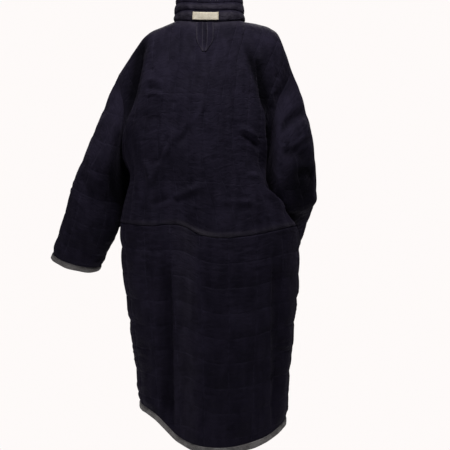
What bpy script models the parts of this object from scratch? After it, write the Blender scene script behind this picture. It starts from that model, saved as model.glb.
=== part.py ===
"""A long quilted coat that keeps the hollow form of being worn.

+X is the coat's own right side, +Y is its front and +Z is up. The origin is the middle of the
neck opening at the height of the collar seam. All sizes are in metres.

Every panel is a grid of points on the coat's outside. The quilting is raised from that grid, the
inside is the same grid moved in by the wall, and seams are a thin gap between two such walls.
"""
import math

import bmesh
import bpy
import numpy as np
from mathutils import Vector
from mathutils.bvhtree import BVHTree


def table(columns, *rows):
    """A short table: one array for each named column."""
    return {name: np.array(values, float) for name, values in zip(columns.split(), zip(*rows))}


# Cloth and sewing
WALL = 0.003
COLLAR_WALL = 0.005
SEAM_GAP = 0.0003
WAIST_GAP = 0.0005
ARMHOLE_GAP = 0.0006
LAP_CLEARANCE = 0.0012
SLEEVE_CLEARANCE = 0.010
PRESS_SLOPE = 3.0
UPPER_ARM_PRESS = 0.05

# Quilting: squares on the skirt, upright channels above the waist, bays along the sleeves
SQUARE = 0.062
SQUARE_COLUMNS = 3
SQUARE_PUFF = 0.005
CHANNELS_PER_SIDE = 13
CHANNEL_PUFF = 0.0045
SLEEVE_BAY = 0.070
SLEEVE_PUFF = 0.005
WAIST_RIDGE = 0.0035

# Neck opening and stand collar
NECK_HALF_WIDTH = 0.089
NECK_BACK = 0.068
NECK_FRONT = 0.085
NECK_FRONT_DROP = 0.045
NECK_BACK_DROP = 0.014
COLLAR_HEIGHT = 0.058
COLLAR_LEAN = 0.003
COLLAR_ROLLS = table("low high puff",
                     (0.000, 0.029, 0.0055),
                     (0.029, 0.049, 0.0045),
                     (0.049, 0.058, 0.0020))

# Shoulder line from the collar out to the dropped armhole seam
SHOULDER_LEFT = table("out height",
                      (0.089, 0.000), (0.120, -0.013), (0.152, -0.027), (0.172, -0.044),
                      (0.190, -0.069), (0.212, -0.101), (0.236, -0.138))
SHOULDER_RIGHT = table("out height",
                       (0.089, 0.000), (0.129, -0.007), (0.160, -0.018), (0.180, -0.036),
                       (0.191, -0.063), (0.202, -0.091), (0.211, -0.120))

# Upper body, from the waist seam (up = 0) to the shoulder and neck line (up = 1): how far the
# body reaches to each side, where its side or armhole seam lies, and how deep that seam sits
UPPER_BODY = table("up side_left side_right seam_left seam_right seam_deep back front",
                   (0.000, -0.228, 0.230, -0.228, 0.230, 0.000, 0.150, 0.140),
                   (0.143, -0.221, 0.200, -0.212, 0.180, 0.000, 0.150, 0.136),
                   (0.286, -0.211, 0.150, -0.198, 0.139, 0.000, 0.151, 0.132),
                   (0.430, -0.213, 0.140, -0.222, 0.147, 0.038, 0.151, 0.130),
                   (0.570, -0.207, 0.138, -0.219, 0.147, 0.056, 0.150, 0.128),
                   (0.710, -0.194, 0.134, -0.208, 0.144, 0.058, 0.147, 0.124),
                   (0.800, -0.187, 0.132, -0.204, 0.143, 0.052, 0.142, 0.118),
                   (0.900, -0.202, 0.160, -0.218, 0.168, 0.035, 0.132, 0.108),
                   (1.000, -0.236, 0.211, -0.236, 0.211, 0.000, 0.120, 0.095))
UNDERARM_ROW = 4
UPPER_ROWS = 14
NECK_COLUMNS = 10
SECTION_POWER = 2.4
TOP_POWER = 4.0
SHOULDER_ROUND = 0.5
NECK_ROUND = 0.8

# Height of the waist seam across the back and the front
WAIST_BACK = table("across height",
                   (-0.228, -0.522), (-0.155, -0.531), (-0.064, -0.531), (-0.017, -0.553),
                   (0.092, -0.556), (0.170, -0.541), (0.230, -0.529))
WAIST_FRONT = table("across height",
                    (-0.228, -0.522), (0.000, -0.545), (0.230, -0.529))

# Skirt, by the distance below the waist seam
SKIRT_BODY = table("below left right back front",
                   (0.00, -0.228, 0.230, 0.150, 0.140),
                   (0.10, -0.222, 0.229, 0.154, 0.145),
                   (0.22, -0.207, 0.220, 0.152, 0.142),
                   (0.35, -0.190, 0.206, 0.146, 0.136),
                   (0.45, -0.180, 0.200, 0.141, 0.131),
                   (0.56, -0.176, 0.195, 0.138, 0.128))
SKIRT_EVEN_ROWS = 14
SKIRT_HEM_ROWS = 2
HEM_BACK = table("across height",
                 (-0.176, -0.979), (-0.132, -0.999), (-0.102, -1.025), (-0.081, -1.045),
                 (-0.050, -1.063), (0.010, -1.076), (0.060, -1.074), (0.100, -1.066),
                 (0.150, -1.050), (0.195, -1.022))
HEM_FRONT = table("across height",
                  (-0.176, -0.979), (-0.090, -1.030), (0.010, -1.050), (0.100, -1.045),
                  (0.195, -1.022))
HEM_BINDING = 0.017
LAP = 0.030

# Large folds of the skirt back: a crest with the cloth set back on one side of it
SKIRT_FOLDS = table("across_top across_low top low fade side depth",
                    (-0.092, -0.080, 0.10, 0.50, 0.085, -1.0, 0.014),
                    (0.160, 0.150, 0.08, 0.46, 0.075, 1.0, 0.009))

# Soft troughs that run from the shoulders down to the armholes
BACK_TROUGHS = table("across_top top across_low low half_width depth",
                     (-0.160, -0.035, -0.192, -0.190, 0.014, 0.012),
                     (0.096, -0.075, 0.136, -0.200, 0.014, 0.012))

# Sleeves: the middle, run and half sizes of each ring from the underarm to the cuff
SLEEVE_LEFT = table("x y z run_x run_y run_z wide deep",
                    (-0.289, 0.002, -0.448, -0.37, 0.03, -0.93, 0.067, 0.074),
                    (-0.302, 0.008, -0.508, -0.37, 0.08, -0.93, 0.071, 0.075),
                    (-0.324, 0.020, -0.563, -0.39, 0.16, -0.92, 0.068, 0.070),
                    (-0.348, 0.033, -0.616, -0.27, 0.22, -0.94, 0.065, 0.063))
SLEEVE_RIGHT = table("x y z run_x run_y run_z wide deep",
                     (0.212, -0.010, -0.458, -0.05, 0.40, -0.91, 0.062, 0.070),
                     (0.199, 0.030, -0.488, -0.12, 0.68, -0.72, 0.060, 0.064),
                     (0.191, 0.088, -0.541, -0.18, 0.72, -0.70, 0.057, 0.057),
                     (0.181, 0.140, -0.588, -0.18, 0.72, -0.70, 0.054, 0.050))
CAP_ROWS = 6
ARM_ROWS = 6
UNDERARM_FLAT_ROWS = 9.0
CUFF_BINDING = 0.015
CAP_SWELL_BACK = {"left": 0.030, "right": 0.034}
CAP_SWELL_FRONT = {"left": 0.030, "right": 0.018}
CAP_SWELL_OUT = {"left": 0.001, "right": 0.020}

# Small pieces
BINDING_PROUD = 0.0006
LABEL = {"across": -0.009, "height": 0.0145, "width": 0.068, "tall": 0.022, "thick": 0.0008}
LOOP_TAPE = 0.017
LOOP_THICK = 0.0012
LOOP_LEFT = table("across height", (-0.0225, -0.018), (-0.0230, -0.048), (-0.0215, -0.073),
                  (-0.0145, -0.097))
LOOP_RIGHT = table("across height", (0.0020, -0.018), (0.0030, -0.048), (0.0010, -0.073),
                   (-0.0085, -0.097))
LOOP_TIP = (-0.060, -0.037)
SNAP_RADIUS = 0.009
SNAP_THICK = 0.0030
SNAP_BEVEL = 0.0008
SNAP_SIDES = 16
SNAP_CREASE = 40.0
SNAP_UPPER = (0.90, 0.62, 0.34, 0.06)
SNAP_SKIRT = (0.093, 0.217)
POCKET_WELT = {"top": 0.105, "low": 0.255, "wide": 0.020, "thick": 0.0020, "slant": 0.035}
POCKET_ACROSS = {"left": 0.235, "right": 0.765}
SIGHT = 0.05

# Colours (linear), roughness
CLOTH = (0.012, 0.011, 0.017, 1.0)
CLOTH_ROUGHNESS = 0.75
BINDING_GREY = (0.085, 0.080, 0.080, 1.0)
BINDING_ROUGHNESS = 0.6
LABEL_CREAM = (0.62, 0.57, 0.48, 1.0)
LABEL_ROUGHNESS = 0.7
SNAP_DARK = (0.03, 0.03, 0.035, 1.0)
SNAP_ROUGHNESS = 0.35
SNAP_METALLIC = 0.8

DENSE = 241
FRONT = 1.0
BACK = -1.0
UP = np.array((0.0, 0.0, 1.0))
BODY_MIDDLE = np.array((0.0, 0.0, -0.4))


def read(rows, key, name, at):
    """Read a column at any key, on a smooth curve through the rows."""
    keys = rows[key]
    values = rows[name]
    slopes = np.gradient(values, keys)
    at = np.clip(at, keys[0], keys[-1])
    row = np.clip(np.searchsorted(keys, at, side="right") - 1, 0, len(keys) - 2)
    step = keys[row + 1] - keys[row]
    part = (at - keys[row]) / step
    rest = 1.0 - part
    ends = (1.0 + 2.0 * part) * rest ** 2 * values[row] + part ** 2 * (3.0 - 2.0 * part) * values[row + 1]
    return ends + part * rest * step * (rest * slopes[row] - part * slopes[row + 1])


def ease(part):
    """Smooth step from 0 to 1."""
    part = np.clip(part, 0.0, 1.0)
    return part * part * (3.0 - 2.0 * part)


def unit(vectors):
    """Vectors scaled to length 1."""
    return vectors / np.maximum(np.linalg.norm(vectors, axis=-1, keepdims=True), 1e-12)


def even_section():
    """Half of the body's section, from side to side, at even steps along its length."""
    turn = np.linspace(0.0, math.pi, DENSE)
    across = -np.sign(np.cos(turn)) * np.abs(np.cos(turn)) ** (2.0 / SECTION_POWER)
    depth = np.abs(np.sin(turn)) ** (2.0 / SECTION_POWER)
    half_width = SKIRT_BODY["right"][0]
    half_depth = SKIRT_BODY["back"][0]
    steps = np.hypot(np.diff(across) * half_width, np.diff(depth) * half_depth)
    length = np.concatenate(((0.0,), np.cumsum(steps)))
    return length / length[-1], (across + 1.0) / 2.0, depth


SECTION = even_section()


def across_share(u):
    """How far across the body a column lies, from 0 at the left side to 1 at the right."""
    return np.interp(u, SECTION[0], SECTION[1])


def depth_share(u):
    """How much of the body's depth a column has: 0 at the sides, 1 in the middle."""
    return np.interp(u, SECTION[0], SECTION[2])


def shoulder_point(rows, part):
    """Point of a shoulder line, from the armhole seam (0) to the collar (1)."""
    out = np.linspace(rows["out"][0], rows["out"][-1], DENSE)
    height = read(rows, "out", "height", out)
    steps = np.hypot(np.diff(out), np.diff(height))
    length = np.concatenate(((0.0,), np.cumsum(steps)))
    place = (1.0 - part) * length[-1]
    return np.interp(place, length, out), np.interp(place, length, height)


COLUMNS = 2 * CHANNELS_PER_SIDE
NECK_START = (COLUMNS - NECK_COLUMNS) / 2.0 / COLUMNS
NECK_END = 1.0 - NECK_START
UNDERARM = UNDERARM_ROW / UPPER_ROWS


def top_line(face, u):
    """Shoulder and neck line: the upper edge of the front and back panels."""
    left_out, left_high = shoulder_point(SHOULDER_LEFT, u / NECK_START)
    right_out, right_high = shoulder_point(SHOULDER_RIGHT, (1.0 - u) / NECK_START)
    turn = math.pi * np.clip((u - NECK_START) / (NECK_END - NECK_START), 0.0, 1.0)
    neck_depth = NECK_FRONT if face == FRONT else NECK_BACK
    drop = NECK_FRONT_DROP if face == FRONT else NECK_BACK_DROP
    x = np.where(u < NECK_START, -left_out, np.where(u > NECK_END, right_out,
                                                     -NECK_HALF_WIDTH * np.cos(turn)))
    z = np.where(u < NECK_START, left_high, np.where(u > NECK_END, right_high,
                                                     -drop * np.sin(turn) ** 2))
    return x, neck_depth * np.sin(turn), z


def skirt_across(u, row):
    """Place across the skirt of a column, at a row of the skirt's table."""
    left, right = SKIRT_BODY["left"][row], SKIRT_BODY["right"][row]
    return left + (right - left) * across_share(u)


def waist_height(face, u):
    """Height of the waist seam at a column."""
    rows = WAIST_FRONT if face == FRONT else WAIST_BACK
    return read(rows, "across", "height", skirt_across(u, 0))


def hem_below(face, u):
    """Distance from the waist seam down to the hem binding at a column."""
    rows = HEM_FRONT if face == FRONT else HEM_BACK
    return waist_height(face, u) - read(rows, "across", "height", skirt_across(u, -1))


def trough(x, z):
    """Depth of the soft troughs between the back and the sleeves."""
    depth = np.zeros(np.shape(x))
    for top_x, top, low_x, low, half, deep in zip(*BACK_TROUGHS.values()):
        part = (z - top) / (low - top)
        middle = top_x + (low_x - top_x) * part
        share = ease((part + 0.15) / 0.5) * ease((1.5 - part) / 0.5)
        depth = depth + deep * share * np.exp(-((x - middle) / half) ** 2)
    return depth


def upper_point(face, u, v):
    """Point of the body above the waist seam: u runs left to right, v from waist to shoulder."""
    u, v = np.broadcast_arrays(np.asarray(u, float), np.asarray(v, float))
    share = depth_share(u)
    side_left = read(UPPER_BODY, "up", "side_left", v)
    side_right = read(UPPER_BODY, "up", "side_right", v)
    pull_left = read(UPPER_BODY, "up", "seam_left", v) - side_left
    pull_right = read(UPPER_BODY, "up", "seam_right", v) - side_right
    body_x = side_left + (side_right - side_left) * across_share(u)
    body_x = body_x + np.where(u < 0.5, pull_left, pull_right) * (1.0 - share) ** 2
    top_x, top_y, top_z = top_line(face, u)
    x = body_x + (top_x - body_x) * v ** 3
    low = waist_height(face, u)
    z = low + (top_z - low) * v
    deep = read(UPPER_BODY, "up", "front" if face == FRONT else "back", v)
    seam = np.maximum(read(UPPER_BODY, "up", "seam_deep", v), 0.0)
    near_neck = np.sin(math.pi * np.clip((u - NECK_START) / (NECK_END - NECK_START), 0.0, 1.0))
    power = SHOULDER_ROUND + (NECK_ROUND - SHOULDER_ROUND) * near_neck
    level = (1.0 - v ** TOP_POWER) ** power
    y = (seam + (deep - seam) * share) * level + top_y * (1.0 - level)
    points = np.stack((x, face * y, z), axis=-1)
    press = np.where(v < UNDERARM - 1e-6, 1.0, ease(np.minimum(u, 1.0 - u) * COLUMNS))
    return points + (clear_of_sleeves(points) - points) * press[..., None]


def skirt_point(face, u, below):
    """Point of the skirt at a distance below the waist seam."""
    u, below = np.broadcast_arrays(np.asarray(u, float), np.asarray(below, float))
    left = read(SKIRT_BODY, "below", "left", below)
    right = read(SKIRT_BODY, "below", "right", below)
    deep = read(SKIRT_BODY, "below", "front" if face == FRONT else "back", below)
    x = left + (right - left) * across_share(u)
    z = waist_height(face, u) - below
    y = deep * depth_share(u)
    if face == BACK:
        y = y - skirt_fold(x, below, depth_share(u))
    return clear_of_sleeves(np.stack((x, face * y, z), axis=-1))


def skirt_fold(x, below, share):
    """How far the skirt back is set in beside its large folds."""
    depth = np.zeros(np.shape(x))
    for top_x, low_x, top, low, fade, side, deep in zip(*SKIRT_FOLDS.values()):
        part = (below - top) / (low - top)
        beside = side * (x - top_x - (low_x - top_x) * part) / fade
        length = ease(part / 0.2) * ease((1.0 - part) / 0.2)
        depth = depth + deep * length * ease(beside / 0.15) * ease((1.0 - beside) / 0.85)
    return depth * ease(share / 0.4)


def sleeve_ring(rows, part, turn):
    """Points of a sleeve ring: turn 0 is the outside, a quarter turn on is the back."""
    keys = np.linspace(0.0, 1.0, len(rows["x"]))
    at = {name: read({"key": keys, "value": values}, "key", "value", part)
          for name, values in rows.items()}
    middle = np.stack((at["x"], at["y"], at["z"]), axis=-1)
    run = unit(np.stack((at["run_x"], at["run_y"], at["run_z"]), axis=-1))
    out = np.array((np.sign(rows["x"][0]), 0.0, 0.0)) * np.ones_like(run)
    out = unit(out - run * np.sum(out * run, axis=-1, keepdims=True))
    back = np.cross(run, out)
    back = back * -np.sign(back[..., 1:2])
    wide = (at["wide"] * np.cos(turn))[..., None]
    deep = (at["deep"] * np.sin(turn))[..., None]
    return middle + out * wide + back * deep


def cuff_run(rows):
    """The way a cuff's binding runs on from its sleeve."""
    return unit(np.array([rows[name][-1] - rows[name][-2] for name in ("x", "y", "z")]))


def sleeve_axis(rows):
    """The middle line of a sleeve with its cuff, and the radius that the body keeps clear of."""
    part = np.linspace(0.0, 1.0, 25)
    keys = np.linspace(0.0, 1.0, len(rows["x"]))
    line = np.stack([read({"key": keys, "value": rows[name]}, "key", "value", part)
                     for name in ("x", "y", "z")], axis=-1)
    radius = read({"key": keys, "value": np.maximum(rows["wide"], rows["deep"])}, "key", "value", part)
    first = unit(np.array([rows[name][0] for name in ("run_x", "run_y", "run_z")]))
    above = line[0] - first * np.array((UPPER_ARM_PRESS, UPPER_ARM_PRESS / 2.0))[:, None]
    line = np.concatenate((above, line, line[-1:] + cuff_run(rows) * CUFF_BINDING))
    return line, np.pad(radius, (2, 1), mode="edge") + SLEEVE_CLEARANCE


def clear_of_sleeves(points):
    """Press the body's sides in wherever a sleeve lies against them."""
    x = points[..., 0].copy()
    for rows in (SLEEVE_LEFT, SLEEVE_RIGHT):
        side = np.sign(rows["x"][0])
        for middle, radius in zip(*sleeve_axis(rows)):
            away = np.hypot(points[..., 1] - middle[1], points[..., 2] - middle[2])
            reach = side * middle[0] - np.sqrt(np.maximum(radius ** 2 - away ** 2, 0.0))
            reach = reach + PRESS_SLOPE * np.maximum(away - radius, 0.0)
            x = side * np.minimum(side * x, reach)
    return np.concatenate((x[..., None], points[..., 1:]), axis=-1)


def outward_normals(grid, closed):
    """Unscaled normals of one grid, turned away from the inside of its piece."""
    rows, columns = grid.shape[:2]
    normals = np.zeros_like(grid)
    for row in range(rows - 1):
        for column in range(columns if closed else columns - 1):
            beside = (column + 1) % columns
            a, b = grid[row, column], grid[row, beside]
            c, d = grid[row + 1, beside], grid[row + 1, column]
            face = np.cross(c - a, d - b)
            for r, k in ((row, column), (row, beside), (row + 1, beside), (row + 1, column)):
                normals[r, k] += face
    middle = grid.mean(axis=1, keepdims=True) if closed else BODY_MIDDLE
    return normals * np.sign(np.sum((grid - middle) * normals))


def grid_normals(grids):
    """Normals of the base grids, shared where two grids have the same point."""
    own = {name: outward_normals(grid, name.startswith("sleeve"))
           for name, grid in grids.items()}
    sums = {}
    for name, grid in grids.items():
        for point, normal in zip(grid.reshape(-1, 3), own[name].reshape(-1, 3)):
            key = tuple(np.round(point, 5))
            sums[key] = sums.get(key, 0.0) + normal
    return {name: unit(np.array([sums[tuple(np.round(point, 5))] for point in grid.reshape(-1, 3)])
                       .reshape(grid.shape)) for name, grid in grids.items()}


def draw_back(grid, edges, gap):
    """Moves that pull the named edges of a grid back from their seams by half a gap."""
    move = np.zeros_like(grid)
    if "first_row" in edges:
        move[0] += unit(grid[1] - grid[0]) * gap / 2.0
    if "last_row" in edges:
        move[-1] += unit(grid[-2] - grid[-1]) * gap / 2.0
    if "first_column" in edges:
        move[:, 0] += unit(grid[:, 1] - grid[:, 0]) * gap / 2.0
    if "last_column" in edges:
        move[:, -1] += unit(grid[:, -2] - grid[:, -1]) * gap / 2.0
    return move


def armhole_turn(face, row):
    """Which point of the armhole seam a row of a body panel ends on."""
    count = 2 * (UPPER_ROWS - UNDERARM_ROW)
    return UPPER_ROWS - row if face == BACK else (count - UPPER_ROWS + row) % count


def armhole_gaps(grids, normals):
    """Half gaps of each armhole seam, from body to sleeve, and the seam's normals in its folds."""
    gaps = {}
    for side, edge, beside in (("left", 0, 1), ("right", -1, -2)):
        sleeve = grids["sleeve_" + side]
        back = grids["back_upper"][::-1]
        front = grids["front_upper_" + side]
        armhole = UPPER_ROWS - UNDERARM_ROW
        toward = list(back[:armhole, beside] - back[:armhole, edge])
        toward.append(back[armhole + 1, edge] - back[armhole, edge])
        toward += list((front[:, beside] - front[:, edge])[UNDERARM_ROW + 1:UPPER_ROWS])
        near, far = unit(np.array(toward)), unit(sleeve[1] - sleeve[0])
        across = unit(far - near)
        across = across + (np.roll(across, 1, axis=0) + np.roll(across, -1, axis=0)) / 2.0
        gaps[side] = unit(across) * ARMHOLE_GAP / 2.0
        folded = ease((np.linalg.norm(near + far, axis=-1, keepdims=True) - 0.5) / 0.5)
        seam = unit(normals["sleeve_" + side][0] * (1.0 - folded) + unit(near + far) * folded)
        normals["sleeve_" + side][0] = seam
        for face, name in ((BACK, "back_upper"), (FRONT, "front_upper_" + side)):
            for row in range(UNDERARM_ROW, UPPER_ROWS + 1):
                normals[name][row, edge] = seam[armhole_turn(face, row)]
    return gaps


def leave_armhole(move, grid, column, face, gaps):
    """Draw one side of a body panel back from its armhole seam."""
    for row in range(UNDERARM_ROW, UPPER_ROWS + 1):
        move[row, column] = -gaps[armhole_turn(face, row)]
    for row in (UNDERARM_ROW, UPPER_ROWS):
        move[row, column, 1] += face * SEAM_GAP
    return move


def wall_object(name, outer, inner, closed, material):
    """A closed solid between an outer and an inner grid of points."""
    rows, columns = outer.shape[:2]
    mesh = bpy.data.meshes.new(name)
    work = bmesh.new()
    sides = []
    for points in (outer, inner):
        sides.append([[work.verts.new(tuple(points[r, c])) for c in range(columns)]
                      for r in range(rows)])
    last = columns if closed else columns - 1
    for near, reverse in ((sides[0], False), (sides[1], True)):
        for row in range(rows - 1):
            for column in range(last):
                beside = (column + 1) % columns
                corners = [near[row][column], near[row][beside],
                           near[row + 1][beside], near[row + 1][column]]
                work.faces.new(corners[::-1] if reverse else corners)
    for column in range(last):
        beside = (column + 1) % columns
        work.faces.new((sides[0][0][beside], sides[0][0][column],
                        sides[1][0][column], sides[1][0][beside]))
        work.faces.new((sides[0][-1][column], sides[0][-1][beside],
                        sides[1][-1][beside], sides[1][-1][column]))
    if not closed:
        for row in range(rows - 1):
            work.faces.new((sides[0][row][0], sides[0][row + 1][0],
                            sides[1][row + 1][0], sides[1][row][0]))
            work.faces.new((sides[0][row + 1][-1], sides[0][row][-1],
                            sides[1][row][-1], sides[1][row + 1][-1]))
    bmesh.ops.triangulate(work, faces=work.faces)
    bmesh.ops.recalc_face_normals(work, faces=work.faces)
    work.to_mesh(mesh)
    work.free()
    mesh.shade_smooth()
    mesh.materials.append(material)
    coat_piece = bpy.data.objects.new(name, mesh)
    bpy.context.collection.objects.link(coat_piece)
    return coat_piece


def make_material(name, colour, roughness, metallic=0.0):
    """A Principled material."""
    material = bpy.data.materials.new(name)
    material.use_nodes = True
    shader = material.node_tree.nodes["Principled BSDF"]
    shader.inputs["Base Color"].default_value = colour
    shader.inputs["Roughness"].default_value = roughness
    shader.inputs["Metallic"].default_value = metallic
    material.diffuse_color = colour
    return material


def channel_puff(u, v):
    """Height of the upright quilted channels, flat at the panel's edges."""
    wave = np.abs(np.sin(math.pi * CHANNELS_PER_SIDE * u)) ** 0.6
    ends = ease(v / 0.06) * ease((1.0 - v) / 0.06) * ease(np.minimum(u, 1.0 - u) * COLUMNS / 3.0)
    ridge = WAIST_RIDGE * ease((0.03 - v) / 0.03) * ease(v / 0.001)
    return CHANNEL_PUFF * wave * ends + ridge


def square_puff(u, below, hem):
    """Height of the quilted squares, flat at the waist seam and the hem."""
    across = np.abs(np.sin(math.pi * COLUMNS / SQUARE_COLUMNS * u)) ** 0.6
    down = np.abs(np.sin(math.pi * below / SQUARE)) ** 0.6
    seams = ease(u * COLUMNS) * ease((1.0 - u) * COLUMNS)
    return SQUARE_PUFF * across * down * seams * ease((hem - below) / 0.02)


def lap_offset(u):
    """How far the right front passes under the left one at the centre front."""
    under = 1.0 - ease((u - 0.5 - LAP) / (2.0 * LAP))
    return (WALL + LAP_CLEARANCE) * under


def front_columns(count, side):
    """Columns of a front panel: its own half and a lap past the centre."""
    half = count // 2
    if side == "left":
        return np.concatenate((np.arange(half + 1) / count, (0.5 + LAP,)))
    own = np.arange(half + 1, count + 1) / count
    return np.concatenate(((0.5 - LAP, 0.5, 0.5 + LAP), own[own > 0.5 + 1.5 * LAP]))


def upper_grids():
    """Base grids of the back panel, the two fronts, the sleeves and the collar."""
    rows = np.linspace(0.0, 1.0, UPPER_ROWS + 1)[:, None]
    columns = {"back_upper": np.linspace(0.0, 1.0, COLUMNS + 1),
               "front_upper_left": front_columns(COLUMNS, "left"),
               "front_upper_right": front_columns(COLUMNS, "right")}
    grids = {}
    for name, across in columns.items():
        face = BACK if name == "back_upper" else FRONT
        grids[name] = upper_point(face, across[None, :], rows)
    for side, rings in (("left", SLEEVE_LEFT), ("right", SLEEVE_RIGHT)):
        grids["sleeve_" + side] = sleeve_grid(side, rings)
    grids["collar"] = collar_grid()
    return columns, rows, grids


def sleeve_turns(count):
    """Turns round a sleeve, one for each column."""
    return np.arange(count) * 2.0 * math.pi / count


def sleeve_grid(side, rings):
    """Base grid of a sleeve, from its armhole seam to the cuff binding."""
    edge = 0.0 if side == "left" else 1.0
    heights = np.linspace(1.0, UNDERARM, UPPER_ROWS - UNDERARM_ROW + 1)
    back_edge = upper_point(BACK, edge, heights)
    front_edge = upper_point(FRONT, edge, heights)
    seam = np.concatenate((back_edge, front_edge[-2:0:-1]))
    turns = sleeve_turns(len(seam))
    first = sleeve_ring(rings, 0.0, turns)
    grid = []
    swell = np.where(np.sin(turns) > 0.0, CAP_SWELL_BACK[side], CAP_SWELL_FRONT[side])
    out = np.stack((np.sign(rings["x"][0]) * CAP_SWELL_OUT[side] * np.maximum(np.cos(turns), 0.0),
                    -swell * np.sin(turns), np.zeros_like(turns)), axis=-1)
    for step in range(CAP_ROWS):
        part = step / CAP_ROWS
        grid.append(seam + (first - seam) * part + out * math.sin(math.pi * part))
    for step in range(ARM_ROWS + 1):
        grid.append(sleeve_ring(rings, step / ARM_ROWS, turns))
    return np.array(grid)


def collar_levels():
    """Heights of the collar's rows: each roll's seam and its crown."""
    levels = [0.0]
    for low, high in zip(COLLAR_ROLLS["low"], COLLAR_ROLLS["high"]):
        levels += [low + (high - low) * 0.25, low + (high - low) * 0.75, high]
    return np.array(levels)


def collar_puff(height):
    """How far the collar's rolls stand out at a height."""
    puff = np.zeros(np.shape(height))
    for low, high, deep in zip(*COLLAR_ROLLS.values()):
        part = np.clip((height - low) / (high - low), 0.0, 1.0)
        puff = puff + deep * np.abs(np.sin(math.pi * part)) ** 0.6
    return puff


def collar_point(turn, height):
    """Point of the stand collar: turn 0 is the centre front, half a turn the centre back."""
    turn, height = np.broadcast_arrays(np.asarray(turn, float), np.asarray(height, float))
    lean = COLLAR_LEAN * height / COLLAR_HEIGHT
    depth = np.where(np.cos(turn) > 0.0, NECK_FRONT, NECK_BACK)
    x = (NECK_HALF_WIDTH - lean) * np.sin(turn)
    y = (depth - lean) * np.cos(turn)
    drop = np.where(np.cos(turn) > 0.0, NECK_FRONT_DROP, NECK_BACK_DROP) * np.cos(turn) ** 2
    return np.stack((x, y, height - drop), axis=-1)


def collar_grid():
    """Base grid of the collar, from the right end at the centre front round to the left."""
    turns = np.arange(2 * NECK_COLUMNS + 1) * math.pi / NECK_COLUMNS
    return collar_point(turns[None, ::-1], collar_levels()[:, None])


def build_upper(columns, rows, grids, normals, cloth):
    """The back, fronts, sleeves and collar."""
    gaps = armhole_gaps(grids, normals)
    for name, across in columns.items():
        grid = grids[name]
        flat = normals[name].copy()
        flat[0, :, 2] = 0.0
        flat = unit(flat)
        edges = ["last_row", "first_column", "last_column"]
        lap = np.zeros(grid.shape[:2])
        if name == "front_upper_left":
            edges.remove("last_column")
        if name == "front_upper_right":
            edges.remove("first_column")
            lap = lap + lap_offset(across)[None, :]
        move = draw_back(grid, edges, SEAM_GAP)
        face = BACK if name == "back_upper" else FRONT
        if name != "front_upper_right":
            move = leave_armhole(move, grid, 0, face, gaps["left"])
        if name != "front_upper_left":
            move = leave_armhole(move, grid, -1, face, gaps["right"])
        move[0, :, 2] += WAIST_GAP / 2.0
        if name == "front_upper_right":
            tuck = (across < 0.5 + 1.5 * LAP) * COLLAR_WALL
            move[-1] -= UP * tuck[:, None]
        base = grid + move - flat * lap[..., None]
        raised = channel_puff(across[None, :], rows) * (1.0 - lap / (WALL + LAP_CLEARANCE))
        if name == "back_upper":
            raised = raised - trough(grid[..., 0], grid[..., 2]) * ease((1.0 - rows) / 0.08)
        inner = base - flat * WALL
        if name == "back_upper":
            inner = inner + flat * np.minimum(raised, 0.0)[..., None]
        wall_object(name, base + flat * raised[..., None], inner, False, cloth)
    for side in ("left", "right"):
        build_sleeve(side, grids["sleeve_" + side], normals["sleeve_" + side], gaps[side], cloth)
    build_collar(grids["collar"], normals["collar"], cloth)


def build_sleeve(side, grid, normals, gaps, cloth):
    """A sleeve and the grey binding round its cuff."""
    rings = SLEEVE_LEFT if side == "left" else SLEEVE_RIGHT
    start = grid[CAP_ROWS].mean(axis=0)
    run = unit(grid[-1].mean(axis=0) - start)
    along = np.sum((grid - start) * run, axis=-1)
    wave = np.abs(np.sin(math.pi * along / SLEEVE_BAY)) ** 0.6
    row = np.arange(len(grid))[:, None]
    turns = sleeve_turns(grid.shape[1])
    underarm = np.maximum(-np.cos(turns), 0.0)[None, :]
    ends = ease(row / (1.5 + UNDERARM_FLAT_ROWS * underarm)) * ease((len(grid) - 1 - row) / 1.5)
    move = draw_back(grid, ["last_row"], SEAM_GAP)
    move[0] = gaps
    base = grid + move
    wall_object("sleeve_" + side, base + normals * (SLEEVE_PUFF * wave * ends)[..., None],
                base - normals * WALL, True, cloth)
    end = grid[-1]
    out = unit(end - end.mean(axis=0))
    steps = np.array((SEAM_GAP, CUFF_BINDING / 2.0, CUFF_BINDING))
    cuff = end[None] + cuff_run(rings) * steps[:, None, None] * np.ones((1, len(turns), 1))
    proud = np.array((0.0, BINDING_PROUD, 0.0))[:, None, None]
    wall_object("cuff_binding_" + side, cuff + out * proud, cuff - out * WALL, True,
                bpy.data.materials["binding"])


def build_collar(grid, normals, cloth):
    """The stand collar, its ends edge to edge at the centre front."""
    puff = collar_puff(collar_levels())[:, None, None]
    end_gap = draw_back(grid, ["first_column", "last_column"], 10.0 * SEAM_GAP)
    base = grid + draw_back(grid, ["first_row"], SEAM_GAP) + end_gap
    wall_object("collar", base + normals * puff, base - normals * COLLAR_WALL, False, cloth)


def skirt_rows(hem):
    """Distances below the waist seam for each row and column, even and then down to the hem."""
    even = np.arange(SKIRT_EVEN_ROWS + 1)[:, None] * SQUARE / 2.0 * np.ones_like(hem)[None, :]
    share = np.arange(1, SKIRT_HEM_ROWS + 1)[:, None] / SKIRT_HEM_ROWS
    return np.concatenate((even, even[-1] + (hem[None, :] - even[-1]) * share))


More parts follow.
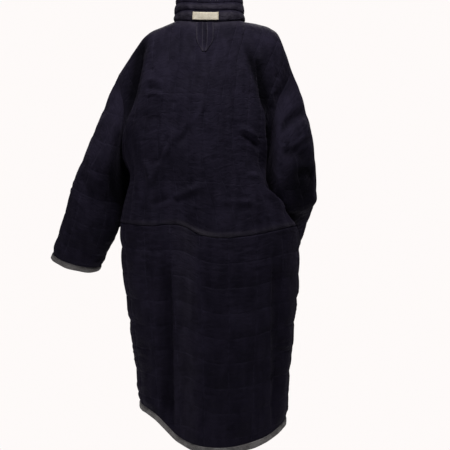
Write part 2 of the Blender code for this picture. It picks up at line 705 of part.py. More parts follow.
def skirt_grids():
    """Base grids of the skirt's three panels, from the hem up to the waist seam."""
    columns = {"skirt_front_left": front_columns(COLUMNS, "left")[::-1],
               "skirt_back": np.linspace(0.0, 1.0, COLUMNS + 1),
               "skirt_front_right": front_columns(COLUMNS, "right")[::-1]}
    grids = {}
    belows = {}
    hems = {}
    for name, across in columns.items():
        face = BACK if name == "skirt_back" else FRONT
        hems[name] = hem_below(face, across)
        belows[name] = skirt_rows(hems[name])[::-1]
        grids[name] = skirt_point(face, across[None, :], belows[name])
    return columns, belows, hems, grids


def build_skirt(columns, belows, hems, grids, normals, cloth, binding):
    """The skirt's back and fronts and the binding along their hem."""
    strip_outer = []
    strip_inner = []
    for name, across in columns.items():
        grid = grids[name]
        flat = normals[name].copy()
        flat[0, :, 2] = 0.0
        flat[-1, :, 2] = 0.0
        flat = unit(flat)
        lap = np.zeros(grid.shape[:2])
        edges = ["first_column", "last_column"]
        if name == "skirt_front_right":
            lap = lap + lap_offset(across)[None, :]
            edges.remove("last_column")
        if name == "skirt_front_left":
            edges.remove("first_column")
        move = draw_back(grid, edges, SEAM_GAP)
        move[-1, :, 2] -= WAIST_GAP / 2.0
        base = grid + move - flat * lap[..., None]
        raised = square_puff(across[None, :], belows[name], hems[name][None, :])
        raised = raised * (1.0 - lap / (WALL + LAP_CLEARANCE))
        wall_object(name, base + flat * raised[..., None], base - flat * WALL, False, cloth)
        edge = (grid - flat * lap[..., None])[0]
        strip_outer.append(edge)
        strip_inner.append(edge - flat[0] * WALL)
    strip_outer[1:] = [strip_outer[1][1:], strip_outer[2][1:]]
    strip_inner[1:] = [strip_inner[1][1:], strip_inner[2][1:]]
    outer = np.concatenate(strip_outer)
    inner = np.concatenate(strip_inner)
    out = unit(outer - inner)
    drops = np.array((HEM_BINDING, HEM_BINDING / 2.0, SEAM_GAP))[:, None, None] * UP
    proud = np.array((0.0, BINDING_PROUD, 0.0))[:, None, None] * out[None]
    wall_object("hem_binding", outer[None] - drops + proud, inner[None] - drops, False, binding)


def find_place(face, x, z):
    """Columns and rows of the upper body at a place seen square on."""
    u = np.full(np.shape(x), 0.5)
    v = np.full(np.shape(x), 0.9)
    small = 1e-4
    for _ in range(12):
        here = upper_point(face, u, v)
        by_u = (upper_point(face, u + small, v) - here) / small
        by_v = (upper_point(face, u, v + small) - here) / small
        off_x, off_z = x - here[..., 0], z - here[..., 2]
        size = by_u[..., 0] * by_v[..., 2] - by_v[..., 0] * by_u[..., 2]
        u = u + (off_x * by_v[..., 2] - off_z * by_v[..., 0]) / size
        v = np.clip(v + (off_z * by_u[..., 0] - off_x * by_u[..., 2]) / size, 0.0, 0.995)
    return u, v


def surface_normals(points):
    """Normals of one grid of points, by its own neighbours."""
    along = np.gradient(points, axis=0)
    beside = np.gradient(points, axis=1)
    return unit(np.cross(beside, along))


def halved(grid):
    """A grid with one more row and column of points between each two."""
    for axis in (0, 1):
        low = np.take(grid, range(grid.shape[axis] - 1), axis=axis)
        high = np.take(grid, range(1, grid.shape[axis]), axis=axis)
        ends = np.take(grid, [-1], axis=axis)
        pairs = np.stack((low, (low + high) / 2.0), axis=axis + 1)
        shape = list(grid.shape)
        shape[axis] = 2 * (shape[axis] - 1)
        grid = np.concatenate((pairs.reshape(shape), ends), axis=axis)
    return grid


def seat_lift(carriers, grid, facing):
    """Lift that seats a flat piece on the highest places of what carries it."""
    lift = -SIGHT
    for carrier in carriers:
        tree = BVHTree.FromPolygons([tuple(vertex.co) for vertex in carrier.data.vertices],
                                    [tuple(face.vertices) for face in carrier.data.polygons])
        for point, out in zip(grid.reshape(-1, 3), unit(facing).reshape(-1, 3)):
            hit = tree.ray_cast(Vector(point + out * SIGHT), Vector(-out), 2.0 * SIGHT)
            if hit[0] is not None:
                lift = max(lift, SIGHT - hit[3])
    return lift + SEAM_GAP


def build_loop(binding):
    """The hanger loop: a tape folded to a point, lying on the back under the collar."""
    steps = 7
    height = np.linspace(0.0, 1.0, steps)
    rows = []
    for part in height:
        low = LOOP_LEFT["height"][0] + (LOOP_LEFT["height"][-1] - LOOP_LEFT["height"][0]) * part
        left = read({"key": -LOOP_LEFT["height"], "value": LOOP_LEFT["across"]}, "key", "value", -low)
        right = read({"key": -LOOP_RIGHT["height"], "value": LOOP_RIGHT["across"]}, "key", "value", -low)
        rows.append((left, right, low))
    rows = np.array(rows)
    half = LOOP_TAPE / 2.0
    tip = ease((rows[:, 2] - LOOP_TIP[0]) / LOOP_TIP[1])
    across = np.stack((rows[:, 0] - half * (1.0 - 0.75 * tip),
                       rows[:, 0] + half * (1.0 - 0.75 * tip),
                       rows[:, 1] - half * (1.0 - 0.75 * tip),
                       rows[:, 1] + half * (1.0 - 0.75 * tip)), axis=-1)
    heights = rows[:, 2:3] * np.ones((1, 4))
    u, v = find_place(BACK, across, heights)
    grid = upper_point(BACK, u, v)[::-1]
    flat = surface_normals(grid)
    flat = flat * np.sign(-flat[..., 1:2])
    lift = seat_lift([bpy.data.objects["back_upper"]], halved(halved(grid)), halved(halved(flat)))
    outer = grid + flat * (lift + LOOP_THICK)
    wall_object("hanger_loop", outer, grid + flat * lift, False, binding)


def build_label(cream):
    """The bare label, on the collar's lowest roll."""
    half = LABEL["width"] / 2.0 / NECK_HALF_WIDTH
    middle = math.pi - LABEL["across"] / NECK_HALF_WIDTH
    turns = np.linspace(middle + half, middle - half, 9)
    heights = LABEL["height"] + LABEL["tall"] * np.linspace(-0.5, 0.5, 4)
    grid = collar_point(turns[None, :], heights[:, None])
    flat = unit(grid * np.array((1.0, 1.0, 0.0)))
    lift = seat_lift([bpy.data.objects["collar"]], halved(grid), halved(flat))
    inner = grid + flat * lift
    wall_object("label", inner + flat * LABEL["thick"], inner, False, cream)


def snap_disc(facing):
    """Points spread over a flat disc of radius 1 that looks one way."""
    side = unit(np.cross(UP, facing))
    over = np.cross(facing, side)
    turns = sleeve_turns(SNAP_SIDES)[:, None, None]
    radii = np.array((0.0, 0.5, 1.0))[None, :, None]
    return radii * (side * np.cos(turns) + over * np.sin(turns))


def build_snap(name, place, facing, metal):
    """A round snap cap, bevelled, lying on the overlapping front edge."""
    mesh = bpy.data.meshes.new(name)
    work = bmesh.new()
    side = unit(np.cross(UP, facing))
    over = np.cross(facing, side)
    rings = ((0.0, SNAP_RADIUS), (SNAP_THICK - SNAP_BEVEL, SNAP_RADIUS),
             (SNAP_THICK, SNAP_RADIUS - SNAP_BEVEL))
    loops = []
    for height, radius in rings:
        turns = sleeve_turns(SNAP_SIDES)
        points = (place + facing * height + side * (radius * np.cos(turns))[:, None]
                  + over * (radius * np.sin(turns))[:, None])
        loops.append([work.verts.new(tuple(point)) for point in points])
    for low, high in zip(loops[:-1], loops[1:]):
        for index in range(SNAP_SIDES):
            beside = (index + 1) % SNAP_SIDES
            work.faces.new((low[index], low[beside], high[beside], high[index]))
    work.faces.new(loops[0][::-1])
    work.faces.new(loops[-1])
    bmesh.ops.triangulate(work, faces=work.faces)
    bmesh.ops.recalc_face_normals(work, faces=work.faces)
    work.to_mesh(mesh)
    work.free()
    mesh.shade_smooth()
    mesh.set_sharp_from_angle(angle=math.radians(SNAP_CREASE))
    mesh.materials.append(metal)
    bpy.context.collection.objects.link(bpy.data.objects.new(name, mesh))


def build_snaps(metal):
    """A row of snaps down the left front's edge."""
    small = 1e-3
    number = 0
    carriers = [bpy.data.objects["front_upper_left"], bpy.data.objects["skirt_front_left"]]
    for levels, surface in ((SNAP_UPPER, upper_point), (SNAP_SKIRT, skirt_point)):
        for level in levels:
            number += 1
            here = surface(FRONT, 0.5, level)
            across = surface(FRONT, 0.5 + small, level) - surface(FRONT, 0.5 - small, level)
            up = surface(FRONT, 0.5, level + small) - surface(FRONT, 0.5, level - small)
            facing = np.cross(across, up)
            facing = unit(facing * np.sign(facing[1]))
            disc = here + SNAP_RADIUS * snap_disc(facing)
            place = here + facing * seat_lift(carriers, disc, np.ones_like(disc) * facing)
            build_snap("snap_%d" % number, place, facing, metal)


def build_pocket(side, cloth):
    """A plain slanted welt at a front pocket's mouth."""
    rows = np.linspace(POCKET_WELT["low"], POCKET_WELT["top"], 7)
    girth = np.pi * (SKIRT_BODY["right"][0] + SKIRT_BODY["front"][0]) / 2.0
    toward = 1.0 if side == "left" else -1.0
    share = (rows - POCKET_WELT["top"]) / (POCKET_WELT["low"] - POCKET_WELT["top"])
    middle = POCKET_ACROSS[side] - toward * POCKET_WELT["slant"] / girth * share
    half = POCKET_WELT["wide"] / 2.0 / girth
    columns = middle[:, None] + np.array((half, 0.0, -half))[None, :]
    grid = skirt_point(FRONT, columns, rows[:, None])
    flat = surface_normals(grid)
    flat = flat * np.sign(flat[..., 1:2])
    carrier = bpy.data.objects["skirt_front_" + side]
    lift = seat_lift([carrier], halved(halved(grid)), halved(halved(flat)))
    wall_object("pocket_welt_" + side, grid + flat * (lift + POCKET_WELT["thick"]),
                grid + flat * lift, False, cloth)


def build_coat():
    """The whole coat."""
    for old in list(bpy.data.objects):
        bpy.data.objects.remove(old, do_unlink=True)
    cloth = make_material("quilted_cloth", CLOTH, CLOTH_ROUGHNESS)
    binding = make_material("binding", BINDING_GREY, BINDING_ROUGHNESS)
    cream = make_material("label_cream", LABEL_CREAM, LABEL_ROUGHNESS)
    metal = make_material("snap_metal", SNAP_DARK, SNAP_ROUGHNESS, SNAP_METALLIC)
    upper_columns, upper_rows, upper = upper_grids()
    skirt_columns, belows, hems, skirt = skirt_grids()
    normals = grid_normals({**upper, **skirt})
    build_upper(upper_columns, upper_rows, upper, normals, cloth)
    build_skirt(skirt_columns, belows, hems, skirt, normals, cloth, binding)
    build_loop(cloth)
    build_label(cream)
    build_snaps(metal)
    for side in ("left", "right"):
        build_pocket(side, cloth)


build_coat()
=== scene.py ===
"""The looks of a long quilted coat that keeps the hollow form of being worn.

+X is the coat's own right side, +Y is its front and +Z is up. The origin is the middle of the
neck opening at the height of the collar seam. All sizes are in metres.

Each panel is a fine grid of points on the coat's outside, raised by its quilting, creases and
puckers, with the lining a wall's thickness inside it.
"""

import math

import bmesh
import bpy
import numpy as np
from mathutils import Matrix, Vector


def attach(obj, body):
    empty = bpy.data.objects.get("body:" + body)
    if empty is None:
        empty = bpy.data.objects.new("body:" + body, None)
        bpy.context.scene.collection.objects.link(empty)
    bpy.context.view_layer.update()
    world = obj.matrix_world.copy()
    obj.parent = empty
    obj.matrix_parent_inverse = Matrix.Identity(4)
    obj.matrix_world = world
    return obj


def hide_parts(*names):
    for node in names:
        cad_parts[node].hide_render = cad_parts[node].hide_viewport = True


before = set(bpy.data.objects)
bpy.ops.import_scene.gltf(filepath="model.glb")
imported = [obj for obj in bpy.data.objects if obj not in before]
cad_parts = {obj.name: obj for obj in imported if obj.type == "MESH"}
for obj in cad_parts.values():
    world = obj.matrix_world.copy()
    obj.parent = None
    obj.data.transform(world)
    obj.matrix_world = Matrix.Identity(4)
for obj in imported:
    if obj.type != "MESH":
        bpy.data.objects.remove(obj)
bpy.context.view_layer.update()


def table(columns, *rows):
    """A short table: one array for each named column."""
    return {name: np.array(values, float) for name, values in zip(columns.split(), zip(*rows))}


# Cloth and sewing
WALL = 0.003
COLLAR_WALL = 0.005
SEAM_GAP = 0.00002
WAIST_GAP = 0.0001
ARMHOLE_GAP = 0.00008
LAP_CLEARANCE = 0.0012
NECK_TUCK = 0.0006
SLEEVE_CLEARANCE = {"left": 0.003, "right": 0.012}
PRESS_SLOPE = 3.0
UPPER_ARM_PRESS = 0.05
SEAM_BLEND = 4.0

# Quilting: squares on the skirt, upright channels above the waist, squares round the sleeves
SQUARE = 0.062
SQUARE_COLUMNS = 3
SQUARE_PUFF = 0.005
CHANNELS_PER_SIDE = 13
CHANNEL_PUFF = 0.0045
SLEEVE_BAY = 0.070
SLEEVE_PUFF = 0.005
SLEEVE_LINES = 6
WAIST_RIDGE = 0.0035
QUILT_ROUND = 0.6
ROLL_DROP = 0.012
ROLL_SETTLED = 0.75
LABEL_DRAWN_IN = (0.93, 0.90)
LINE_WAVER = 0.05
WAIST_TOPSTITCH = 0.012

# Softness of worn, padded cloth
SOFT_BROAD = 0.0016
SOFT_SMALL = 0.0011
PUCKER = 0.0011
QUILT_SETTLED = 0.4
WRINKLE = 0.0012
PUCKER_STEP = 0.010
PUCKER_REACH = 0.22
# Spacing of that softness, across and along the cloth
BROAD_STEP = (0.055, 0.070)
SMALL_STEP = (0.022, 0.026)
WRINKLE_STEP = (0.024, 0.011)
WRINKLE_BEND = 0.030
WRINKLE_PATCH = 0.045
LINE_STEP = (0.05, 0.06)

# Neck opening and stand collar
NECK_HALF_WIDTH = 0.089
NECK_BACK = 0.068
NECK_FRONT = 0.085
NECK_FRONT_DROP = 0.045
NECK_BACK_DROP = 0.014
COLLAR_HEIGHT = 0.058
COLLAR_LEAN = 0.003
COLLAR_ROLLS = table("low high puff",
                     (0.000, 0.029, 0.0055),
                     (0.029, 0.049, 0.0045),
                     (0.049, 0.058, 0.0020))

# Shoulder line from the collar out to the dropped armhole seam
SHOULDER_LEFT = table("out height",
                      (0.089, 0.000), (0.120, -0.013), (0.152, -0.027), (0.172, -0.044),
                      (0.190, -0.069), (0.212, -0.101), (0.236, -0.138))
SHOULDER_RIGHT = table("out height",
                       (0.089, 0.000), (0.129, -0.007), (0.160, -0.018), (0.180, -0.036),
                       (0.191, -0.063), (0.202, -0.091), (0.211, -0.120))

# Upper body, from the waist seam (up = 0) to the shoulder and neck line (up = 1): how far the
# body reaches to each side, where its side or armhole seam lies, and how deep that seam sits
UPPER_BODY = table("up side_left side_right seam_left seam_right seam_deep back front",
                   (0.000, -0.228, 0.230, -0.228, 0.230, 0.000, 0.150, 0.140),
                   (0.143, -0.221, 0.200, -0.212, 0.180, 0.000, 0.150, 0.136),
                   (0.286, -0.211, 0.150, -0.198, 0.139, 0.000, 0.151, 0.132),
                   (0.430, -0.213, 0.140, -0.222, 0.147, 0.038, 0.151, 0.130),
                   (0.570, -0.207, 0.138, -0.219, 0.147, 0.056, 0.150, 0.128),
                   (0.710, -0.194, 0.134, -0.208, 0.144, 0.058, 0.147, 0.124),
                   (0.800, -0.187, 0.132, -0.204, 0.143, 0.052, 0.142, 0.118),
                   (0.900, -0.202, 0.160, -0.218, 0.168, 0.035, 0.132, 0.108),
                   (1.000, -0.236, 0.211, -0.236, 0.211, 0.000, 0.120, 0.095))
UNDERARM_ROW = 4
UPPER_ROWS = 14
NECK_COLUMNS = 10
SECTION_POWER = 2.4
TOP_POWER = 4.0
SHOULDER_ROUND = 0.5
NECK_ROUND = 0.8

# Height of the waist seam across the back and the front
WAIST_BACK = table("across height",
                   (-0.228, -0.522), (-0.155, -0.531), (-0.064, -0.531), (-0.017, -0.553),
                   (0.092, -0.556), (0.170, -0.541), (0.230, -0.529))
WAIST_FRONT = table("across height",
                    (-0.228, -0.522), (0.000, -0.545), (0.230, -0.529))

# Skirt, by the distance below the waist seam
SKIRT_BODY = table("below left right back front",
                   (0.00, -0.228, 0.230, 0.150, 0.140),
                   (0.10, -0.222, 0.229, 0.154, 0.145),
                   (0.22, -0.207, 0.220, 0.152, 0.142),
                   (0.35, -0.190, 0.206, 0.146, 0.136),
                   (0.45, -0.180, 0.200, 0.141, 0.131),
                   (0.56, -0.176, 0.195, 0.138, 0.128))
SKIRT_EVEN_ROWS = 14
SKIRT_HEM_ROWS = 2
HEM_BACK = table("across height",
                 (-0.176, -0.979), (-0.132, -0.999), (-0.102, -1.025), (-0.081, -1.045),
                 (-0.050, -1.063), (0.010, -1.076), (0.060, -1.074), (0.100, -1.066),
                 (0.150, -1.050), (0.195, -1.022))
HEM_FRONT = table("across height",
                  (-0.176, -0.979), (-0.090, -1.030), (0.010, -1.050), (0.100, -1.045),
                  (0.195, -1.022))
HEM_BINDING = 0.017
LAP = 0.030

# Large folds of the skirt back: a crest with the cloth set back on one side of it
SKIRT_FOLDS = table("across_top across_low top low fade side depth",
                    (-0.092, -0.080, 0.10, 0.50, 0.085, -1.0, 0.014),
                    (0.160, 0.150, 0.08, 0.46, 0.075, 1.0, 0.009))

# Soft troughs that run from the shoulders down to the armholes
BACK_TROUGHS = table("across_top top across_low low half_width depth",
                     (-0.160, -0.035, -0.192, -0.190, 0.014, 0.012),
                     (0.096, -0.075, 0.136, -0.200, 0.014, 0.012))

# Sleeves: the middle, run and half sizes of each ring from the underarm to the cuff
SLEEVE_LEFT = table("x y z run_x run_y run_z wide deep",
                    (-0.289, 0.002, -0.448, -0.37, 0.03, -0.93, 0.067, 0.074),
                    (-0.302, 0.008, -0.508, -0.37, 0.08, -0.93, 0.071, 0.075),
                    (-0.324, 0.020, -0.563, -0.39, 0.16, -0.92, 0.068, 0.070),
                    (-0.348, 0.033, -0.616, -0.27, 0.22, -0.94, 0.065, 0.063))
SLEEVE_RIGHT = table("x y z run_x run_y run_z wide deep",
                     (0.212, -0.010, -0.458, -0.05, 0.40, -0.91, 0.062, 0.070),
                     (0.199, 0.030, -0.488, -0.12, 0.68, -0.72, 0.060, 0.064),
                     (0.191, 0.088, -0.541, -0.18, 0.72, -0.70, 0.057, 0.057),
                     (0.181, 0.140, -0.588, -0.18, 0.72, -0.70, 0.054, 0.050))
CAP_ROWS = 6
ARM_ROWS = 6
UNDERARM_FLAT_ROWS = 9.0
CUFF_BINDING = 0.015
CAP_SWELL_BACK = {"left": 0.030, "right": 0.034}
CAP_SWELL_FRONT = {"left": 0.030, "right": 0.018}
CAP_SWELL_OUT = {"left": 0.001, "right": 0.020}

# Nominal sizes that the cloth's own coordinates are counted in
GIRTH_HALF = 0.62
UPPER_TALL = 0.54
SLEEVE_GIRTH = 0.44
SLEEVE_LENGTH = 0.60
SLEEVE_LINE_SHARE = 0.45
COLLAR_ROUND = 0.50
BINDING_ROWS = 9
TAPE_SEAM = 0.16
CUFF_PROUD = 0.0016
HEM_PROUD = 0.0018
LAP_STEPS = 5

# How finely the cloth is drawn between the pattern's own rows and columns
FINE_ACROSS = 8
FINE_UP = 10
FINE_COLLAR = 10

# Small pieces
LABEL = {"across": -0.009, "height": 0.0145, "width": 0.068, "tall": 0.022, "thick": 0.0008}
LOOP_TAPE = 0.017
LOOP_THICK = 0.0012
LOOP_LEFT = table("across height", (-0.0225, -0.018), (-0.0230, -0.048), (-0.0215, -0.073),
                  (-0.0145, -0.097))
LOOP_RIGHT = table("across height", (0.0020, -0.018), (0.0030, -0.048), (0.0010, -0.073),
                   (-0.0085, -0.097))
LOOP_TIP = (-0.060, -0.037)
SNAP_RADIUS = 0.009
SNAP_THICK = 0.0030
# Rings pressed into a snap's cap: how far each steps in, and how far it drops
SNAP_RINGS = ((0.0015, 0.0), (0.0006, -0.0005), (0.0022, 0.0), (0.0008, 0.0004))
SNAP_RIM = 0.0006
POCKET_WELT = {"top": 0.105, "low": 0.255, "wide": 0.020, "thick": 0.0020, "slant": 0.035}
POCKET_ACROSS = {"left": 0.235, "right": 0.765}

# Creases of the worn back, as shown: both ends, half width, height (below 0 is a furrow)
BACK_CREASES = table("from_x from_z to_x to_z half height",
                     (-0.0100, -0.014, -0.0100, -0.078, 0.004, -0.0060),
                     (-0.083, -0.293, -0.120, -0.367, 0.009, 0.0040),
                     (-0.120, -0.367, -0.145, -0.429, 0.009, 0.0035),
                     (-0.095, -0.305, -0.132, -0.380, 0.008, -0.0035),
                     (-0.009, -0.219, -0.039, -0.281, 0.008, 0.0020),
                     (-0.046, -0.281, -0.076, -0.330, 0.008, -0.0025),
                     (-0.157, -0.367, -0.145, -0.429, 0.008, 0.0025),
                     (-0.120, -0.486, -0.009, -0.434, 0.009, 0.0025),
                     (-0.145, -0.478, -0.059, -0.466, 0.008, -0.0020),
                     (0.077, -0.288, 0.119, -0.318, 0.008, 0.0030),
                     (0.085, -0.303, 0.120, -0.333, 0.007, -0.0030),
                     (0.090, -0.404, 0.122, -0.412, 0.007, 0.0025),
                     (0.033, -0.473, 0.132, -0.483, 0.008, 0.0020),
                     (-0.157, -0.165, -0.108, -0.182, 0.007, 0.0018),
                     (-0.157, -0.186, -0.112, -0.200, 0.006, -0.0018),
                     (-0.157, -0.207, -0.108, -0.207, 0.006, 0.0016),
                     (0.139, -0.268, 0.146, -0.429, 0.010, -0.0050),
                     (0.128, -0.250, 0.132, -0.410, 0.009, 0.0030),
                     (0.146, -0.429, 0.200, -0.482, 0.009, -0.0045),
                     (0.135, -0.440, 0.185, -0.492, 0.009, 0.0035))
# The front isn't shown: a few creases of the same kind, where such a coat pulls
FRONT_CREASES = table("from_x from_z to_x to_z half height",
                      (-0.070, -0.300, -0.135, -0.390, 0.010, 0.0030),
                      (-0.085, -0.315, -0.145, -0.400, 0.009, -0.0025),
                      (0.060, -0.280, 0.118, -0.340, 0.010, 0.0030),
                      (0.070, -0.300, 0.120, -0.360, 0.009, -0.0025),
                      (-0.110, -0.480, -0.040, -0.462, 0.009, 0.0020),
                      (0.050, -0.470, 0.130, -0.488, 0.009, 0.0020))
CREASE_GAIN = 2.2
# Painted highlight along the crest of the skirt's large fold: middle, half width, share
CREST_PAINTED_HIGHLIGHT = (-0.052, 0.034, 0.16)
# Share of painted shade on the skirt back to the right of that crest, where it faces away from the
# light
PAINTED_SHADE_RIGHT = 0.16
# Long edges beside which the back is set back, as shown: both ends, width, side, depth
BACK_STEPS = table("top_x top low_x low fade side depth",
                   (-0.160, -0.035, -0.202, -0.300, 0.045, -1.0, 0.010),
                   (0.112, -0.090, 0.148, -0.330, 0.045, 1.0, 0.011))
SKIRT_STEPS = table("top_x top low_x low fade side depth",
                    (-0.088, -0.590, -0.080, -1.060, 0.050, -1.0, 0.010),
                    (0.152, -0.590, 0.150, -1.040, 0.040, 1.0, 0.007))
# Creases of the skirt: steep sides of its large folds, and hanging folds of the same kind in front
SKIRT_BACK_CREASES = table("from_x from_z to_x to_z half height",
                           (-0.074, -0.590, -0.066, -1.050, 0.014, 0.0030),
                           (-0.024, -0.600, -0.014, -1.050, 0.018, -0.0025),
                           (0.178, -0.600, 0.168, -1.000, 0.010, 0.0040),
                           (-0.160, -0.700, -0.140, -0.960, 0.014, 0.0030),
                           (-0.128, -0.860, -0.112, -1.010, 0.010, -0.0030),
                           (0.040, -0.800, 0.052, -1.060, 0.016, -0.0025))
SKIRT_FRONT_CREASES = table("from_x from_z to_x to_z half height",
                            (-0.120, -0.600, -0.108, -1.020, 0.014, -0.0055),
                            (-0.096, -0.620, -0.086, -1.030, 0.016, 0.0040),
                            (0.125, -0.610, 0.132, -1.030, 0.014, -0.0055),
                            (0.100, -0.640, 0.106, -1.030, 0.016, 0.0035),
                            (-0.040, -0.760, -0.046, -1.040, 0.016, -0.0025))
# Where faint lines cross the channels of the upper back
CROSS_LINES = (-0.212, -0.428)
CROSS_DEPTH = 0.0007
CROSS_HALF = 0.005
CROSS_WAVER = 0.009
TOPSTITCH_DEPTH = 0.0007
TOPSTITCH_HALF = 0.003
# Depths at which the painted shade of a set-back part and of a furrow is at its full
DARKEST_SET_BACK = 0.012
DARKEST_FURROW = 0.008

# Creases of the sleeves, by rows down (0 armhole, 1 cuff) and turns round (0 outside, 0.25 back)
SLEEVE_CREASES = {
    "left": table("from_down from_turn to_down to_turn half height",
                  (0.05, 0.30, 0.50, 0.40, 0.020, -0.0040),
                  (0.30, 0.08, 0.42, 0.24, 0.016, 0.0040),
                  (0.42, 0.10, 0.50, 0.28, 0.014, -0.0035),
                  (0.52, 0.05, 0.60, 0.20, 0.014, 0.0030),
                  (0.62, 0.30, 0.80, 0.22, 0.014, 0.0030),
                  (0.74, 0.04, 0.82, 0.18, 0.013, -0.0030),
                  (0.30, 0.62, 0.44, 0.78, 0.015, 0.0035),
                  (0.45, 0.70, 0.54, 0.88, 0.014, -0.0030),
                  (0.45, 0.88, 0.52, 0.96, 0.012, 0.0025)),
    "right": table("from_down from_turn to_down to_turn half height",
                   (0.18, 0.34, 0.42, 0.34, 0.016, 0.0055),
                   (0.10, 0.21, 0.17, 0.00, 0.012, -0.0090),
                   (0.19, 0.17, 0.21, 0.02, 0.028, 0.0060),
                   (0.18, 0.25, 0.31, 0.10, 0.013, -0.0085),
                   (0.23, 0.19, 0.25, 0.05, 0.008, -0.0030),
                   (0.33, 0.20, 0.42, 0.02, 0.014, -0.0060),
                   (0.46, 0.16, 0.52, 0.00, 0.018, 0.0050),
                   (0.56, 0.28, 0.62, 0.10, 0.015, -0.0050),
                   (0.66, 0.30, 0.70, 0.12, 0.013, 0.0040),
                   (0.50, 0.70, 0.58, 0.90, 0.015, -0.0050),
                   (0.60, 0.72, 0.66, 0.92, 0.013, 0.0040))}

# Where the left sleeve lies fullest against the body: turn, down, half sizes, height
PRESSED_SIDE = (0.49, 0.48, 0.09, 0.12, 0.009)
# Hollows of the sleeves, by the turn and the rows down of their middles, half sizes and depth; they
# are set back and also get painted shade
SLEEVE_HOLLOWS = {
    "left": table("turn down half_turn half_down depth",
                  (0.42, 0.22, 0.13, 0.34, 0.009),
                  (0.50, 0.85, 0.10, 0.20, 0.004)),
    "right": table("turn down half_turn half_down depth",
                   (0.42, 0.24, 0.08, 0.24, 0.006),
                   (0.15, 0.40, 0.12, 0.11, 0.009),
                   (0.30, 0.60, 0.16, 0.12, 0.005))}

# Colours of the cloth, tape, label, metal and studio (linear)
COTTON_DARK = (0.0060, 0.0050, 0.0112, 1.0)
COTTON_LIGHT = (0.0128, 0.0109, 0.0215, 1.0)
COTTON_SPECK = (0.0170, 0.0150, 0.0260, 1.0)
COTTON_CRUSHED = (0.0165, 0.0145, 0.0270, 1.0)
# Painted highlight, laid on the crowns of ridges, rolls and edges
COTTON_PAINTED_HIGHLIGHT = (0.0360, 0.0330, 0.0440, 1.0)
# Painted shade, laid into set-back parts, furrows and hollows
COTTON_PAINTED_SHADE = (0.0010, 0.0008, 0.0026, 1.0)
THREAD_NAVY = (0.0120, 0.0110, 0.0250, 1.0)
LINING_NAVY = (0.0090, 0.0090, 0.0150, 1.0)
LINING_LIGHT = (0.0160, 0.0160, 0.0250, 1.0)
TAPE_GREY = (0.085, 0.080, 0.080, 1.0)
TAPE_DARK = (0.060, 0.057, 0.058, 1.0)
TAPE_LIGHT = (0.210, 0.203, 0.203, 1.0)
TAPE_THREAD = (0.060, 0.058, 0.060, 1.0)
LABEL_CREAM = (0.47, 0.43, 0.345, 1.0)
LABEL_PALE = (0.55, 0.515, 0.43, 1.0)
LABEL_EDGE = (0.46, 0.40, 0.30, 1.0)
SNAP_DARK = (0.03, 0.03, 0.035, 1.0)
SNAP_SCUFF = (0.12, 0.12, 0.125, 1.0)
FLOOR_PALE = (0.80, 0.79, 0.78, 1.0)
FLOOR_WARM = (0.84, 0.83, 0.81, 1.0)
SURROUND_LIGHT = (0.06, 0.058, 0.064, 1.0)
SURROUND_SEEN = (0.99, 0.955, 0.945, 1.0)
FLOOR_GLOW = 0.40
FLOOR_SIZE = 3.6
FLOOR_HEIGHT = -1.50

# Sizes of the fine patterns
CELL_SIZE = 0.055
CRUSHED_HALF = 0.0022
THREAD_HALF = 0.0006
STITCH_STEP = 0.0036
STITCH_SHARE = 0.64
RIB_STEP = 0.0022
WEAVE_STEP = 0.0011
TAPE_STEP = 0.0014
LABEL_STEP = 0.0006
LOOP_ACROSS = 13
LOOP_ROWS = 41
LOOP_SEAT = 0.0040
UNDER_LOOP = 0.0006
LABEL_COLUMNS = 41
LABEL_ROWS = 15
LABEL_LIFT = 0.0008
LABEL_STITCH = (0.0024, 0.0005)
WELT_LIFT = 0.0022
WELT_ROWS = 49
WELT_COLUMNS = 13

# Lamps: name, place, what it points at, size, power, colour
LAMPS = (
    ("key_lamp", (0.22, -0.78, 1.10), (0.0, 0.0, -0.40), (0.55, 0.45), 27.0, (1.0, 0.97, 0.95)),
    ("side_lamp", (-1.25, -1.30, 0.95), (-0.1, 0.0, -0.2), (0.8, 0.8), 15.0, (1.0, 0.96, 0.97)),
    ("front_lamp", (0.3, 2.2, 1.4), (0.0, 0.0, -0.4), (2.0, 1.6), 75.0, (1.0, 0.98, 0.97)),
)
CAMERA_PLACE = (0.0403, -2.6, -0.5278)
CAMERA_LENS = 80.0

DENSE = 241
LATTICE = 64
SNAPS = 6
FRONT = 1.0
BACK = -1.0
UP = np.array((0.0, 0.0, 1.0))
BODY_MIDDLE = np.array((0.0, 0.0, -0.4))


def read(rows, key, name, at):
    """Read a column at any key, on a smooth curve through the rows."""
    keys = rows[key]
    values = rows[name]
    slopes = np.gradient(values, keys)
    at = np.clip(at, keys[0], keys[-1])
    row = np.clip(np.searchsorted(keys, at, side="right") - 1, 0, len(keys) - 2)
    step = keys[row + 1] - keys[row]
    part = (at - keys[row]) / step
    rest = 1.0 - part
    ends = (1.0 + 2.0 * part) * rest ** 2 * values[row]
    ends = ends + part ** 2 * (3.0 - 2.0 * part) * values[row + 1]
    return ends + part * rest * step * (rest * slopes[row] - part * slopes[row + 1])


def ease(part):
    """Smooth step from 0 to 1."""
    part = np.clip(part, 0.0, 1.0)
    return part * part * (3.0 - 2.0 * part)


def unit(vectors):
    """Vectors scaled to length 1."""
    return vectors / np.maximum(np.linalg.norm(vectors, axis=-1, keepdims=True), 1e-12)


def even_section():
    """Half of the body's section, from side to side, at even steps along its length."""
    turn = np.linspace(0.0, math.pi, DENSE)
    across = -np.sign(np.cos(turn)) * np.abs(np.cos(turn)) ** (2.0 / SECTION_POWER)
    depth = np.abs(np.sin(turn)) ** (2.0 / SECTION_POWER)
    half_width = SKIRT_BODY["right"][0]
    half_depth = SKIRT_BODY["back"][0]
    steps = np.hypot(np.diff(across) * half_width, np.diff(depth) * half_depth)
    length = np.concatenate(((0.0,), np.cumsum(steps)))
    return length / length[-1], (across + 1.0) / 2.0, depth


SECTION = even_section()


def across_share(u):
    """How far across the body a column lies, from 0 at the left side to 1 at the right."""
    return np.interp(u, SECTION[0], SECTION[1])


